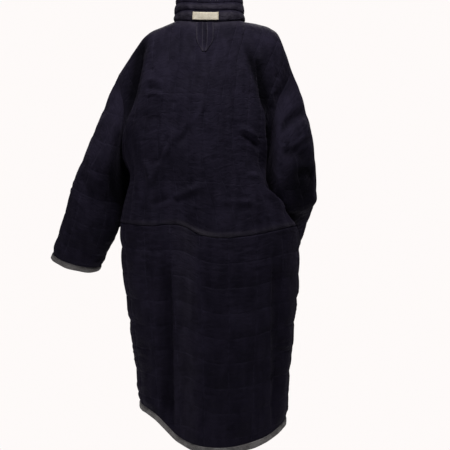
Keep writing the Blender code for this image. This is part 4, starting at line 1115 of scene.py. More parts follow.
def dress_sleeve(side, grid, normals, gaps, turns, cloth, lining):
    """A quilted sleeve, and the grey tape bound over its cuff."""
    height, strip, bay, deep = sleeve_relief(side, grid, turns)
    move = draw_back(grid, ["last_row"], SEAM_GAP)
    move[0] = gaps
    base = grid + move
    inner = base - normals * WALL + normals * np.minimum(height, 0.0)[..., None]
    strip = np.concatenate((strip, strip[:, :1] + SLEEVE_LINES), axis=1)
    ways = (strip / SLEEVE_LINES * SLEEVE_GIRTH,
            np.linspace(0.0, SLEEVE_LENGTH, len(grid))[:, None])
    # The sleeve's hollows and furrows get painted shade
    piece = shell("quilted_sleeve_" + side, base + normals * height[..., None], inner, True,
                  ways, (strip, wrap(bay)), -deep, cloth, lining)
    hang(piece, "sleeve_" + side, grid, closed=True)
    dress_cuff(side, grid[-1])


def dress_cuff(side, end):
    """The grey tape folded over the edge of a cuff."""
    along = cuff_run(SLEEVE_LEFT if side == "left" else SLEEVE_RIGHT)
    out = unit(end - end.mean(axis=0))
    turn = np.arange(len(end)) / len(end)
    rows = np.linspace(0.0, 1.0, BINDING_ROWS)[:, None]
    drop = SEAM_GAP + (CUFF_BINDING - SEAM_GAP) * rows
    wobble = 0.0006 * soft_noise(turn[None, :] * 40.0, rows * 2.0, 151)
    proud = binding_roll(rows) * (CUFF_PROUD + wobble)
    wave = 0.0012 * soft_noise(turn[None, :] * 14.0, rows * 0.0, 153) * rows
    base = end[None] + along * (drop + wave)[..., None]
    outer = base + out[None] * proud[..., None]
    inner = base - out[None] * (WALL * (1.0 - 0.35 * ease((rows - 0.6) / 0.4)))[..., None]
    outer = np.where((rows > 0.99)[..., None], base - out[None] * WALL * 0.25, outer)
    inner = np.where((rows > 0.99)[..., None], base - out[None] * WALL * 0.75, inner)
    ways = (np.append(turn, 1.0)[None, :] * SLEEVE_GIRTH, rows * CUFF_BINDING)
    piece = shell("cuff_tape_" + side, outer, inner, True, ways, (0.5, rows), 0.0,
                  bpy.data.materials["grey_tape"], bpy.data.materials["grey_tape"])
    hang(piece, "cuff_binding_" + side, base,
         closed=True)


def binding_roll(rows):
    """How a folded tape stands proud between its stitched edge and its fold."""
    stitched = 0.85 * np.exp(-((rows - TAPE_SEAM) / 0.05) ** 2)
    return ease(rows / 0.12) * (1.0 - stitched) * ease((1.04 - rows) / 0.2)


def collar_puff(height):
    """How far the collar's rolls stand out at a height."""
    puff = np.zeros(np.shape(height))
    for low, high, deep in zip(*COLLAR_ROLLS.values()):
        part = np.clip((height - low) / (high - low), 0.0, 1.0)
        puff = puff + deep * np.abs(np.sin(math.pi * part)) ** QUILT_ROUND
    return puff


def collar_rows():
    """Heights of the collar's rows, closest beside the stitched lines of its rolls."""
    rows = [0.0]
    for low, high in zip(COLLAR_ROLLS["low"], COLLAR_ROLLS["high"]):
        part = np.arange(1, FINE_COLLAR + 1) / FINE_COLLAR
        rows += list(low + (high - low) * (part - 0.12 * np.sin(2.0 * math.pi * part) / 2.0))
    return np.array(rows)


def collar_grid():
    """Base grid of the collar, from the right end at the centre front round to the left."""
    count = 2 * NECK_COLUMNS * FINE_ACROSS
    turns = np.arange(count + 1) * 2.0 * math.pi / count
    rows = collar_rows()[:, None]
    turns = turns[None, ::-1]
    lower = ROLL_DROP * np.sin(turns) ** 6 * np.sin(math.pi * rows / COLLAR_HEIGHT)
    return collar_point(turns, rows - lower)


def dress_collar(grid, normals, cloth, lining):
    """The stand collar in three padded rolls."""
    rows = collar_rows()[:, None]
    count = grid.shape[1]
    turn = np.linspace(0.0, 1.0, count)[None, :]
    ends = ease(turn * 30.0) * ease((1.0 - turn) * 30.0)
    height = ROLL_SETTLED * collar_puff(rows) * (0.25 + 0.75 * ends)
    roll = np.interp(rows, np.append(0.0, COLLAR_ROLLS["high"]), np.arange(4.0))
    soft = 0.0009 * soft_noise(turn * 40.0, rows / 0.010, 161)
    soft = soft + 0.0010 * soft_noise(turn * 16.0, rows / 0.020, 163)
    calm = 1.0 - ease((0.085 - np.abs(turn - 0.5)) / 0.02)
    height = height + soft * ease(rows / 0.008) * ease((COLLAR_HEIGHT - rows) / 0.004) * ends * calm
    move = draw_back(grid, ["first_column", "last_column"], 10.0 * SEAM_GAP)
    base = grid + draw_back(grid, ["first_row"], SEAM_GAP) + move
    ways = (turn * COLLAR_ROUND, rows)
    # Painted highlight on the crowns of the collar's rolls
    painted_light = 0.70 * ease((collar_puff(rows) - 0.002) / 0.003) * np.ones_like(height)
    piece = shell("quilted_collar", base + normals * height[..., None],
                  base - normals * COLLAR_WALL, False, ways, (0.5, roll), painted_light, cloth, lining)
    hang(piece, "collar", grid)


def skirt_grids():
    """Base grids of the skirt's three panels, from the hem up to the waist seam."""
    belows = {}
    hems = {}
    grids = {}
    for name in ("skirt_front_left", "skirt_back", "skirt_front_right"):
        face = BACK if name == "skirt_back" else FRONT
        across = panel_columns(name)
        hems[name] = hem_below(face, across)
        belows[name] = skirt_rows(hems[name])[::-1]
        grids[name] = skirt_point(face, across[None, :], belows[name])
    return belows, hems, grids


def dress_skirt(belows, hems, grids, normals, cloth, lining):
    """The skirt's back and fronts, and the grey tape bound over their hem."""
    edges_outer = []
    edges_inner = []
    for name, grid in grids.items():
        face = BACK if name == "skirt_back" else FRONT
        across = panel_columns(name)
        flat = normals[name].copy()
        flat[0, :, 2] = 0.0
        flat[-1, :, 2] = 0.0
        flat = unit(flat)
        lap = np.zeros(grid.shape[:2])
        edges = ["first_column", "last_column"]
        if name == "skirt_front_right":
            lap = lap + lap_offset(across)[None, :]
            edges.remove("first_column")
        if name == "skirt_front_left":
            edges.remove("last_column")
        move = draw_back(grid, edges, SEAM_GAP)
        move[-1, :, 2] -= WAIST_GAP / 2.0
        base = grid + move - flat * lap[..., None]
        height, across_cells, down_cells, deep = skirt_relief(face, across[None, :], belows[name],
                                                              hems[name][None, :], grid)
        height = height * (1.0 - lap / (WALL + LAP_CLEARANCE))
        inner = base - flat * WALL + flat * np.minimum(height, 0.0)[..., None]
        # Painted highlight along the crest of the skirt back's large fold and painted shade to its
        # right; painted shade in set-back parts and furrows
        painted_light = 0.0
        if face == BACK:
            middle, half, share = CREST_PAINTED_HIGHLIGHT
            painted_light = share * np.exp(-((grid[..., 0] - middle) / half) ** 2)
            painted_light = painted_light - PAINTED_SHADE_RIGHT * ease((grid[..., 0] - middle) / 0.09)
        ways = (across[None, :] * GIRTH_HALF, -belows[name])
        piece = shell("quilted_" + name, base + flat * height[..., None], inner, False, ways,
                      (across_cells, down_cells), painted_light - deep, cloth, lining)
        hang(piece, name, grid)
        edge = (grid - flat * lap[..., None])[0]
        backward = slice(None) if name == "skirt_back" else slice(None, None, -1)
        edges_outer.append(edge[backward])
        edges_inner.append((edge - flat[0] * WALL)[backward])
    outer = np.concatenate((edges_outer[0], edges_outer[1][1:], edges_outer[2][1:]))
    inner = np.concatenate((edges_inner[0], edges_inner[1][1:], edges_inner[2][1:]))
    dress_hem(outer, inner)


def dress_hem(outer, inner):
    """The grey tape folded over the edge of the hem."""
    out = unit(outer - inner)
    place = np.linspace(0.0, 1.0, len(outer))[None, :]
    rows = np.linspace(0.0, 1.0, BINDING_ROWS)[:, None]
    wobble = 0.0007 * soft_noise(place * 120.0, rows * 2.0, 171)
    proud = binding_roll(rows) * (HEM_PROUD + wobble)
    wave = 0.0014 * soft_noise(place * 40.0, rows * 0.0, 173) * rows
    drop = SEAM_GAP + (HEM_BINDING - SEAM_GAP) * rows + wave
    base = outer[None] - UP * drop[..., None]
    lower = inner[None] - UP * drop[..., None]
    thick = (outer - inner)[None]
    face = base + out[None] * proud[..., None]
    face = np.where((rows > 0.99)[..., None], base - thick * 0.25, face)
    lower = np.where((rows > 0.99)[..., None], lower + thick * 0.25, lower)
    ways = (place * 2.0 * GIRTH_HALF, rows * HEM_BINDING)
    tape = bpy.data.materials["grey_tape"]
    piece = shell("hem_tape", face, lower, False, ways, (0.5, rows), 0.0, tape, tape)
    hang(piece, "hem_binding", base)


def find_place(face, x, z):
    """Columns and rows of the upper body at a place seen square on."""
    u = np.full(np.shape(x), 0.5)
    v = np.full(np.shape(x), 0.9)
    small = 1e-4
    for _ in range(12):
        here = upper_point(face, u, v)
        by_u = (upper_point(face, u + small, v) - here) / small
        by_v = (upper_point(face, u, v + small) - here) / small
        off_x, off_z = x - here[..., 0], z - here[..., 2]
        size = by_u[..., 0] * by_v[..., 2] - by_v[..., 0] * by_u[..., 2]
        u = u + (off_x * by_v[..., 2] - off_z * by_v[..., 0]) / size
        v = np.clip(v + (off_z * by_u[..., 0] - off_x * by_u[..., 2]) / size, 0.0, 0.995)
    return u, v


def surface_normals(points):
    """Normals of one grid of points, by its own neighbours."""
    along = np.gradient(points, axis=0)
    beside = np.gradient(points, axis=1)
    return unit(np.cross(beside, along))


def loop_strip(rows, middle, width, lift, thick):
    """Outer and inner points of one strip of tape that lies on the back."""
    share = np.linspace(-0.5, 0.5, LOOP_ACROSS)[None, :]
    across = middle[:, None] + width[:, None] * share
    heights = rows[:, None] * np.ones_like(share)
    u, v = find_place(BACK, across, heights)
    grid = upper_point(BACK, u, v)
    flat = surface_normals(grid)
    flat = flat * np.sign(-flat[..., 1:2])
    crown = thick * (0.55 + 0.45 * np.sqrt(np.clip(1.0 - (2.0 * share) ** 4, 0.0, 1.0)))
    stitched = 0.0004 * np.exp(-((np.abs(share) - 0.34) / 0.05) ** 2)
    inner = grid + flat * lift[..., None]
    return inner + flat * (crown - stitched)[..., None], inner, grid, share


def dress_loop(cloth):
    """The hanger loop: two strips of folded tape under the collar, joined in a stitched point."""
    tips = []
    for side, rows_table in (("left", LOOP_LEFT), ("right", LOOP_RIGHT)):
        low = rows_table["height"][-1]
        rows = np.linspace(rows_table["height"][0], low, LOOP_ROWS)
        middle = read({"key": -rows_table["height"], "value": rows_table["across"]},
                      "key", "value", -rows)
        tip = ease((rows - LOOP_TIP[0]) / LOOP_TIP[1])
        width = LOOP_TAPE * (1.0 - 0.72 * tip) * 0.97
        part = np.linspace(0.0, 1.0, LOOP_ROWS)[:, None]
        slack = 0.0022 * np.sin(math.pi * np.clip(part * 1.3, 0.0, 1.0)) if side == "right" else 0.0
        lift = LOOP_SEAT + slack * np.ones((LOOP_ROWS, LOOP_ACROSS))
        if side == "right":
            lift = lift + LOOP_THICK * 1.1 * ease((part - 0.62) / 0.15)
        outer, inner, grid, share = loop_strip(rows, middle, width, lift, LOOP_THICK * 1.3)
        # Painted highlight along the tape's folded edges and towards its point
        painted_light = 0.9 * ease((np.abs(share) - 0.34) / 0.10) * np.ones_like(outer[..., 0])
        painted_light = np.maximum(painted_light, 0.6 * ease((part - 0.8) / 0.15))
        ways = (share * LOOP_TAPE, part * 0.08)
        piece = shell("loop_tape_" + side, outer, inner, False, ways,
                      (0.5 + 0.0 * share, 0.5 + 0.0 * part), painted_light, cloth, cloth)
        tips.append((piece, grid))
    for piece, grid in tips:
        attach(piece, "root")
        width, length, area = cut_size(grid)
    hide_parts("hanger_loop")
    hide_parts("hanger_loop")


def dress_label(cream):
    """The bare woven label on the collar, with its ends folded under."""
    half = LABEL["width"] * LABEL_DRAWN_IN[0] / 2.0 / NECK_HALF_WIDTH
    middle = math.pi - LABEL["across"] / NECK_HALF_WIDTH
    turns = np.linspace(middle + half, middle - half, LABEL_COLUMNS)[None, :]
    tall = LABEL["tall"] * LABEL_DRAWN_IN[1]
    heights = (LABEL["height"] + tall * np.linspace(-0.5, 0.5, LABEL_ROWS))[:, None]
    grid = collar_point(turns, heights)
    flat = unit(grid * np.array((1.0, 1.0, 0.0)))
    share_x = np.linspace(-1.0, 1.0, LABEL_COLUMNS)[None, :]
    share_z = np.linspace(-1.0, 1.0, LABEL_ROWS)[:, None]
    lift = ROLL_SETTLED * collar_puff(heights).max() + LABEL_LIFT
    sag = 0.0007 * soft_noise(share_x * 3.0, share_z * 1.5, 181)
    curl = 0.0009 * (share_z ** 4) * (1.0 - share_x ** 2)
    inner = grid + flat * (lift + sag - curl)[..., None]
    folded = ease((np.abs(share_x) - 0.88) / 0.02)
    thick = LABEL["thick"] * (0.7 + 0.5 * folded) * np.ones_like(share_z)
    ways = (share_x * LABEL["width"] / 2.0, share_z * LABEL["tall"] / 2.0)
    piece = shell("bare_label", inner + flat * thick[..., None], inner, False, ways,
                  (share_x, share_z), 0.0, cream, cream)
    hang(piece, "label", grid)
    return inner + flat * thick[..., None], flat


def place_stitches(name, points, runs, outs, length, thick, material):
    """Short rounded threads laid on a surface, each a small closed bead."""
    sides = np.arange(6) * math.pi / 3.0
    stations = np.array((-1.0, -0.8, 0.0, 0.8, 1.0))
    radii = np.array((0.12, 0.75, 1.0, 0.75, 0.12))
    vertices = []
    faces = []
    for point, run, out in zip(points, runs, outs):
        run = unit(run)
        out = unit(out - run * np.dot(out, run))
        beside = np.cross(run, out)
        first = len(vertices)
        for station, radius in zip(stations, radii):
            middle = point + run * station * length / 2.0 + out * thick * 0.25 * radius
            for turn in sides:
                aside = beside * math.cos(turn) + out * math.sin(turn) * 0.7
                vertices.append(tuple(middle + aside * radius * thick / 2.0))
        for ring in range(len(stations) - 1):
            for corner in range(6):
                near, far = first + ring * 6, first + ring * 6 + 6
                beyond = (corner + 1) % 6
                faces.append((near + corner, near + beyond, far + beyond, far + corner))
        faces.append(tuple(first + corner for corner in range(5, -1, -1)))
        faces.append(tuple(first + 24 + corner for corner in range(6)))
    mesh = bpy.data.meshes.new(name)
    mesh.from_pydata(vertices, [], faces)
    work = bmesh.new()
    work.from_mesh(mesh)
    bmesh.ops.recalc_face_normals(work, faces=work.faces)
    work.to_mesh(mesh)
    work.free()
    mesh.shade_smooth()
    mesh.materials.append(material)
    piece = bpy.data.objects.new(name, mesh)
    bpy.context.collection.objects.link(piece)
    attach(piece, "root")
    return piece


def stitch_label(outer, flat, thread):
    """Short stitches that hold the label's two ends."""
    points, runs, outs = [], [], []
    rows = np.linspace(1, LABEL_ROWS - 2, 6)
    for column in (2, LABEL_COLUMNS - 3):
        for row in rows:
            low = int(row)
            points.append(outer[low, column] + flat[min(low, len(flat) - 1), column] * 0.0001)
            above, below = min(low + 1, LABEL_ROWS - 1), max(low - 1, 0)
            runs.append(outer[above, column] - outer[below, column])
            outs.append(flat[min(low, len(flat) - 1), column])
    piece = place_stitches("label_stitches", points, runs, outs, *LABEL_STITCH, thread)


def model_snap():
    """One snap cap, modelled at the origin facing up: a bevelled disc with a pressed middle."""
    bpy.ops.object.select_all(action="DESELECT")
    bpy.ops.mesh.primitive_cylinder_add(vertices=48, radius=SNAP_RADIUS, depth=SNAP_THICK,
                                        location=(0.0, 0.0, SNAP_THICK / 2.0))
    cap = bpy.context.active_object
    mesh = cap.data
    bpy.ops.object.mode_set(mode="EDIT")
    bpy.ops.mesh.select_mode(type="FACE")
    for radius, drop in SNAP_RINGS:
        select_top(mesh)
        bpy.ops.mesh.inset(thickness=radius, depth=0.0)
        bpy.ops.transform.translate(value=(0.0, 0.0, drop))
    bpy.ops.mesh.select_all(action="DESELECT")
    bpy.ops.object.mode_set(mode="OBJECT")
    rim = cap.modifiers.new("rolled_rim", "BEVEL")
    rim.width = SNAP_RIM
    rim.segments = 3
    rim.limit_method = "ANGLE"
    rim.angle_limit = math.radians(50.0)
    bpy.ops.object.modifier_apply(modifier=rim.name)
    bpy.ops.object.transform_apply(location=True, rotation=True, scale=True)
    bpy.ops.object.shade_smooth_by_angle(angle=math.radians(35.0))
    return cap


def select_top(mesh):
    """Select the highest flat face in the middle of a cap in edit mode."""
    work = bmesh.from_edit_mesh(mesh)
    for face in work.faces:
        face.select = False
    middle = min(work.faces, key=lambda face: (face.calc_center_median().xy.length
                                               - 0.5 * face.normal.z, -face.calc_center_median().z))
    middle.select = True
    work.faces.active = middle
    bmesh.update_edit_mesh(mesh)


def dress_snaps(metal):
    """Six snap caps down the front, each a copy of one cap on its solid's place."""
    cap = model_snap()
    cap.data.materials.clear()
    cap.data.materials.append(metal)
    for number in range(1, SNAPS + 1):
        node = "snap_%d" % number
        corners = np.array([tuple(vertex.co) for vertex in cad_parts[node].data.vertices])
        middle = corners.mean(axis=0)
        axes = np.linalg.svd(corners - middle, full_matrices=False)[2]
        facing = axes[2] * np.sign(axes[2][1])
        side = unit(np.cross(UP, facing))
        over = np.cross(facing, side)
        base = middle + facing * (np.min((corners - middle) @ facing))
        mesh = cap.data.copy()
        mesh.name = "snap_cap_%d" % number
        turn = Matrix((tuple(side) + (0.0,), tuple(over) + (0.0,), tuple(facing) + (0.0,),
                       (0.0, 0.0, 0.0, 1.0))).transposed()
        mesh.transform(Matrix.Translation(Vector(base)) @ turn)
        piece = bpy.data.objects.new("snap_cap_%d" % number, mesh)
        bpy.context.collection.objects.link(piece)
        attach(piece, "root")
        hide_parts(node)
    bpy.data.objects.remove(cap, do_unlink=True)


def dress_pocket(side, cloth):
    """A slanted pocket welt, folded and stitched along both edges."""
    rows = np.linspace(POCKET_WELT["low"], POCKET_WELT["top"], WELT_ROWS)
    girth = np.pi * (SKIRT_BODY["right"][0] + SKIRT_BODY["front"][0]) / 2.0
    toward = 1.0 if side == "left" else -1.0
    share = (rows - POCKET_WELT["top"]) / (POCKET_WELT["low"] - POCKET_WELT["top"])
    middle = POCKET_ACROSS[side] - toward * POCKET_WELT["slant"] / girth * share
    half = POCKET_WELT["wide"] / 2.0 / girth
    across = np.linspace(1.0, -1.0, WELT_COLUMNS)[None, :]
    grid = skirt_point(FRONT, middle[:, None] + half * across, rows[:, None])
    flat = surface_normals(grid)
    flat = flat * np.sign(flat[..., 1:2])
    lift = SQUARE_PUFF + WELT_LIFT
    roll = np.sqrt(np.clip(1.0 - across ** 6, 0.0, 1.0))
    stitched = 0.0008 * np.exp(-((np.abs(across) - 0.72) / 0.09) ** 2)
    down = np.linspace(-1.0, 1.0, WELT_ROWS)[:, None]
    ends = np.sqrt(np.clip(1.0 - down ** 40, 0.0, 1.0))
    thick = POCKET_WELT["thick"] * (0.35 + 0.65 * roll * ends) - stitched
    thick = thick + 0.0004 * soft_noise(across * 2.0, down * 9.0, 191)
    base = grid + flat * lift
    ways = (across * POCKET_WELT["wide"] / 2.0, rows[:, None])
    # Painted highlight along the welt's rolled edges
    painted_light = 0.3 * ease((np.abs(across) - 0.8) / 0.15) * np.ones_like(thick)
    piece = shell("folded_welt_" + side, base + flat * thick[..., None], base, False, ways,
                  (0.5 + 0.0 * across, 0.5 + 0.0 * down), painted_light, cloth, cloth)
    hang(piece, "pocket_welt_" + side, grid)


class Recipe:
    """A material's nodes, added one after another."""

    def __init__(self, name, colour, roughness):
        self.material = bpy.data.materials.new(name)
        self.material.use_nodes = True
        self.nodes = self.material.node_tree.nodes
        self.links = self.material.node_tree.links
        self.shader = self.nodes["Principled BSDF"]
        self.shader.inputs["Base Color"].default_value = colour
        self.shader.inputs["Roughness"].default_value = roughness
        self.material.diffuse_color = colour

    def set(self, **values):
        """Set the shader's own sockets."""
        for name, value in values.items():
            self.shader.inputs[name.replace("_", " ")].default_value = value

    def put(self, target, value):
        """Link a socket to a node's input, or set the input to a plain value."""
        if hasattr(value, "is_output"):
            self.links.new(value, target)
        else:
            target.default_value = value

    def sum(self, kind, first, second=0.0, third=0.0):
        """A maths node."""
        node = self.nodes.new("ShaderNodeMath")
        node.operation = kind
        for target, value in zip(node.inputs, (first, second, third)):
            self.put(target, value)
        return node.outputs[0]

    def spread(self, value, low, high, to_low=0.0, to_high=1.0):
        """A value carried from one range to another, smooth at both ends."""
        node = self.nodes.new("ShaderNodeMapRange")
        node.interpolation_type = "SMOOTHSTEP"
        for target, given in zip(node.inputs, (value, low, high, to_low, to_high)):
            self.put(target, given)
        return node.outputs[0]

    def places(self, layer):
        """Both ways of a cloth's own coordinates."""
        source = self.nodes.new("ShaderNodeUVMap")
        source.uv_map = layer
        split = self.nodes.new("ShaderNodeSeparateXYZ")
        self.links.new(source.outputs[0], split.inputs[0])
        return split.outputs[0], split.outputs[1]

    def noise(self, scale, detail=2.0, stretch=None):
        """Fine unevenness on the piece itself."""
        source = self.nodes.new("ShaderNodeTexCoord").outputs["Object"]
        if stretch is not None:
            mapping = self.nodes.new("ShaderNodeMapping")
            mapping.inputs["Scale"].default_value = stretch
            self.links.new(source, mapping.inputs["Vector"])
            source = mapping.outputs[0]
        node = self.nodes.new("ShaderNodeTexNoise")
        node.inputs["Scale"].default_value = scale
        node.inputs["Detail"].default_value = detail
        self.links.new(source, node.inputs["Vector"])
        return node.outputs[0]

    def wrinkles(self, across, along, stretch, scale):
        """Small wrinkles that lie across one way of the cloth."""
        ways = self.nodes.new("ShaderNodeCombineXYZ")
        self.put(ways.inputs[0], across)
        self.put(ways.inputs[1], self.sum("MULTIPLY", along, stretch))
        node = self.nodes.new("ShaderNodeTexNoise")
        node.inputs["Scale"].default_value = scale
        node.inputs["Detail"].default_value = 3.0
        node.inputs["Roughness"].default_value = 0.55
        node.inputs["Distortion"].default_value = 0.8
        self.links.new(ways.outputs[0], node.inputs["Vector"])
        return node.outputs[0]

    def painted_light(self):
        """Share of painted highlight on a place of the cloth, below 0 for painted shade where it
        lies deep in a fold.
        """
        node = self.nodes.new("ShaderNodeAttribute")
        node.attribute_name = "painted_light"
        return node.outputs["Fac"]

    def mix(self, share, first, second):
        """A colour between two others."""
        node = self.nodes.new("ShaderNodeMix")
        node.data_type = "RGBA"
        colours = [socket for socket in node.inputs if socket.type == "RGBA"]
        self.put(node.inputs[0], share)
        self.put(colours[0], first)
        self.put(colours[1], second)
        return [socket for socket in node.outputs if socket.type == "RGBA"][0]

    def bump(self, height, strength, distance):
        """Raise the surface by a pattern."""
        node = self.nodes.new("ShaderNodeBump")
        node.inputs["Strength"].default_value = strength
        node.inputs["Distance"].default_value = distance
        self.links.new(height, node.inputs["Height"])
        self.links.new(node.outputs[0], self.shader.inputs["Normal"])

    def colour(self, value):
        """Give the cloth its colour."""
        self.links.new(value, self.shader.inputs["Base Color"])

    def roughness(self, value):
        """Give the cloth its roughness."""
        self.links.new(value, self.shader.inputs["Roughness"])


def stitch_lines(recipe, cells_across, cells_down, across, along):
    """Crushed lines of the quilting and the thread that shows in them."""
    masks = []
    threads = []
    for cells, size, run in ((cells_across, CELL_SIZE, along), (cells_down, CELL_SIZE, across)):
        distance = recipe.sum("PINGPONG", cells, 0.5)
        distance = recipe.sum("MULTIPLY", distance, size)
        masks.append(recipe.spread(distance, CRUSHED_HALF, CRUSHED_HALF * 0.25))
        beat = recipe.sum("FRACT", recipe.sum("DIVIDE", run, STITCH_STEP))
        dash = recipe.sum("LESS_THAN", beat, STITCH_SHARE)
        line = recipe.spread(distance, THREAD_HALF, THREAD_HALF * 0.4)
        threads.append(recipe.sum("MULTIPLY", line, dash))
    return recipe.sum("MAXIMUM", *masks), recipe.sum("MAXIMUM", *threads)


def quilted_cotton():
    """Near-black navy cotton with a fine rib and a soft nap, crushed along its stitched lines, with
    painted highlights and painted shade from a point attribute.
    """
    recipe = Recipe("quilted_cloth", COTTON_DARK, 0.8)
    recipe.set(Specular_IOR_Level=0.05, Sheen_Weight=0.04, Sheen_Roughness=0.4,
               Sheen_Tint=(0.50, 0.45, 0.66, 1.0))
    across, along = recipe.places("cloth")
    cells_across, cells_down = recipe.places("quilt")
    crushed, thread = stitch_lines(recipe, cells_across, cells_down, across, along)
    rib = recipe.sum("SINE", recipe.sum("MULTIPLY", across, 2.0 * math.pi / RIB_STEP))
    rib = recipe.sum("MULTIPLY_ADD", rib, 0.5, 0.5)
    nap = recipe.noise(900.0, 3.0)
    patches = recipe.noise(14.0, 4.0)
    streaks = recipe.noise(60.0, 3.0, (1.0, 1.0, 0.25))
    shade = recipe.sum("MULTIPLY_ADD", streaks, 0.5, recipe.sum("MULTIPLY", patches, 0.6))
    shade = recipe.spread(shade, 0.38, 0.74)
    colour = recipe.mix(shade, COTTON_DARK, COTTON_LIGHT)
    speck = recipe.spread(nap, 0.55, 0.75)
    colour = recipe.mix(recipe.sum("MULTIPLY", speck, 0.35), colour, COTTON_SPECK)
    broken = recipe.spread(recipe.wrinkles(across, along, 1.0, 38.0), 0.40, 0.66, 0.0, 0.8)
    colour = recipe.mix(recipe.sum("MULTIPLY", crushed, broken), colour, COTTON_CRUSHED)
    colour = recipe.mix(recipe.sum("MULTIPLY", thread, 0.4), colour, THREAD_NAVY)
    # Painted highlight where the point attribute is above 0
    painted_highlight = recipe.sum("MAXIMUM", recipe.painted_light(), 0.0)
    painted_highlight = recipe.sum("MULTIPLY", painted_highlight, recipe.spread(streaks, 0.3, 0.7, 0.45, 1.0))
    colour = recipe.mix(painted_highlight, colour, COTTON_PAINTED_HIGHLIGHT)
    # Painted shade where the point attribute is below 0
    deep = recipe.sum("MINIMUM", recipe.sum("MULTIPLY", recipe.painted_light(), -1.0), 1.0)
    colour = recipe.mix(recipe.sum("MAXIMUM", deep, 0.0), colour, COTTON_PAINTED_SHADE)
    recipe.colour(colour)
    recipe.roughness(recipe.spread(patches, 0.3, 0.7, 0.7, 0.9))
    relief = recipe.sum("MULTIPLY_ADD", rib, 0.25, recipe.sum("MULTIPLY", nap, 0.35))
    relief = recipe.sum("MULTIPLY_ADD", recipe.wrinkles(across, along, 2.2, 42.0), 3.4, relief)
    relief = recipe.sum("MULTIPLY_ADD", recipe.wrinkles(along, across, 1.3, 95.0), 1.4, relief)
    relief = recipe.sum("MULTIPLY_ADD", thread, 0.3, relief)
    relief = recipe.sum("MULTIPLY_ADD", crushed, -0.7, relief)
    recipe.bump(relief, 0.8, 0.0012)
    return recipe.material


def lining_cotton():
    """Plain navy lining that follows the quilting's lines."""
    recipe = Recipe("lining_cloth", LINING_NAVY, 0.7)
    recipe.set(Specular_IOR_Level=0.2, Sheen_Weight=0.1, Sheen_Roughness=0.5)
    across, along = recipe.places("cloth")
    cells_across, cells_down = recipe.places("quilt")
    crushed, thread = stitch_lines(recipe, cells_across, cells_down, across, along)
    warp = recipe.sum("SINE", recipe.sum("MULTIPLY", across, 2.0 * math.pi / WEAVE_STEP))
    weft = recipe.sum("SINE", recipe.sum("MULTIPLY", along, 2.0 * math.pi / WEAVE_STEP))
    weave = recipe.sum("MULTIPLY", warp, weft)
    patches = recipe.noise(22.0, 3.0)
    colour = recipe.mix(recipe.spread(patches, 0.35, 0.65), LINING_NAVY, LINING_LIGHT)
    colour = recipe.mix(recipe.sum("MULTIPLY", thread, 0.5), colour, THREAD_NAVY)
    recipe.colour(colour)
    relief = recipe.sum("MULTIPLY_ADD", weave, 0.15, recipe.sum("MULTIPLY", crushed, -0.8))
    relief = recipe.sum("MULTIPLY_ADD", recipe.noise(90.0, 3.0), 1.2, relief)
    recipe.bump(relief, 0.5, 0.0012)
    return recipe.material


def grey_tape():
    """Heathered grey woven tape, with a line of stitches along its sewn edge."""
    recipe = Recipe("grey_tape", TAPE_GREY, 0.8)
    recipe.set(Specular_IOR_Level=0.15, Sheen_Weight=0.1, Sheen_Roughness=0.5)
    across, along = recipe.places("cloth")
    rows = recipe.places("quilt")[1]
    warp = recipe.sum("SINE", recipe.sum("MULTIPLY", across, 2.0 * math.pi / TAPE_STEP))
    weft = recipe.sum("SINE", recipe.sum("MULTIPLY", along, 2.0 * math.pi / TAPE_STEP))
    weave = recipe.sum("MULTIPLY", warp, weft)
    heather = recipe.noise(420.0, 3.0, (1.0, 1.0, 2.5))
    patches = recipe.noise(45.0, 3.0)
    shade = recipe.sum("MULTIPLY_ADD", heather, 0.6, recipe.sum("MULTIPLY", patches, 0.45))
    colour = recipe.mix(recipe.spread(shade, 0.34, 0.72), TAPE_DARK, TAPE_LIGHT)
    seam = recipe.sum("ABSOLUTE", recipe.sum("SUBTRACT", rows, TAPE_SEAM))
    line = recipe.spread(seam, 0.06, 0.02)
    beat = recipe.sum("FRACT", recipe.sum("DIVIDE", across, STITCH_STEP))
    thread = recipe.sum("MULTIPLY", line, recipe.sum("LESS_THAN", beat, STITCH_SHARE))
    colour = recipe.mix(recipe.sum("MULTIPLY", thread, 0.7), colour, TAPE_THREAD)
    recipe.colour(colour)
    relief = recipe.sum("MULTIPLY_ADD", weave, 0.3, recipe.sum("MULTIPLY", heather, 0.8))
    relief = recipe.sum("MULTIPLY_ADD", thread, 0.6, relief)
    recipe.bump(relief, 0.7, 0.0006)
    return recipe.material


def cream_weave():
    """Cream woven label cloth, dense and a little yellowed at its edges."""
    recipe = Recipe("label_cream", LABEL_CREAM, 0.75)
    recipe.set(Specular_IOR_Level=0.2, Sheen_Weight=0.08)
    across, along = recipe.places("cloth")
    share_x, share_z = recipe.places("quilt")
    warp = recipe.sum("SINE", recipe.sum("MULTIPLY", across, 2.0 * math.pi / LABEL_STEP))
    weft = recipe.sum("SINE", recipe.sum("MULTIPLY", along, 2.0 * math.pi / LABEL_STEP))
    edge = recipe.sum("MAXIMUM", recipe.sum("ABSOLUTE", share_x), recipe.sum("ABSOLUTE", share_z))
    colour = recipe.mix(recipe.spread(recipe.noise(260.0, 3.0), 0.35, 0.7), LABEL_CREAM, LABEL_PALE)
    colour = recipe.mix(recipe.spread(edge, 0.86, 1.0, 0.0, 0.6), colour, LABEL_EDGE)
    recipe.colour(colour)
    relief = recipe.sum("MULTIPLY_ADD", recipe.sum("MULTIPLY", warp, weft), 0.5,
                        recipe.noise(900.0, 2.0))
    recipe.bump(relief, 0.5, 0.0003)
    return recipe.material


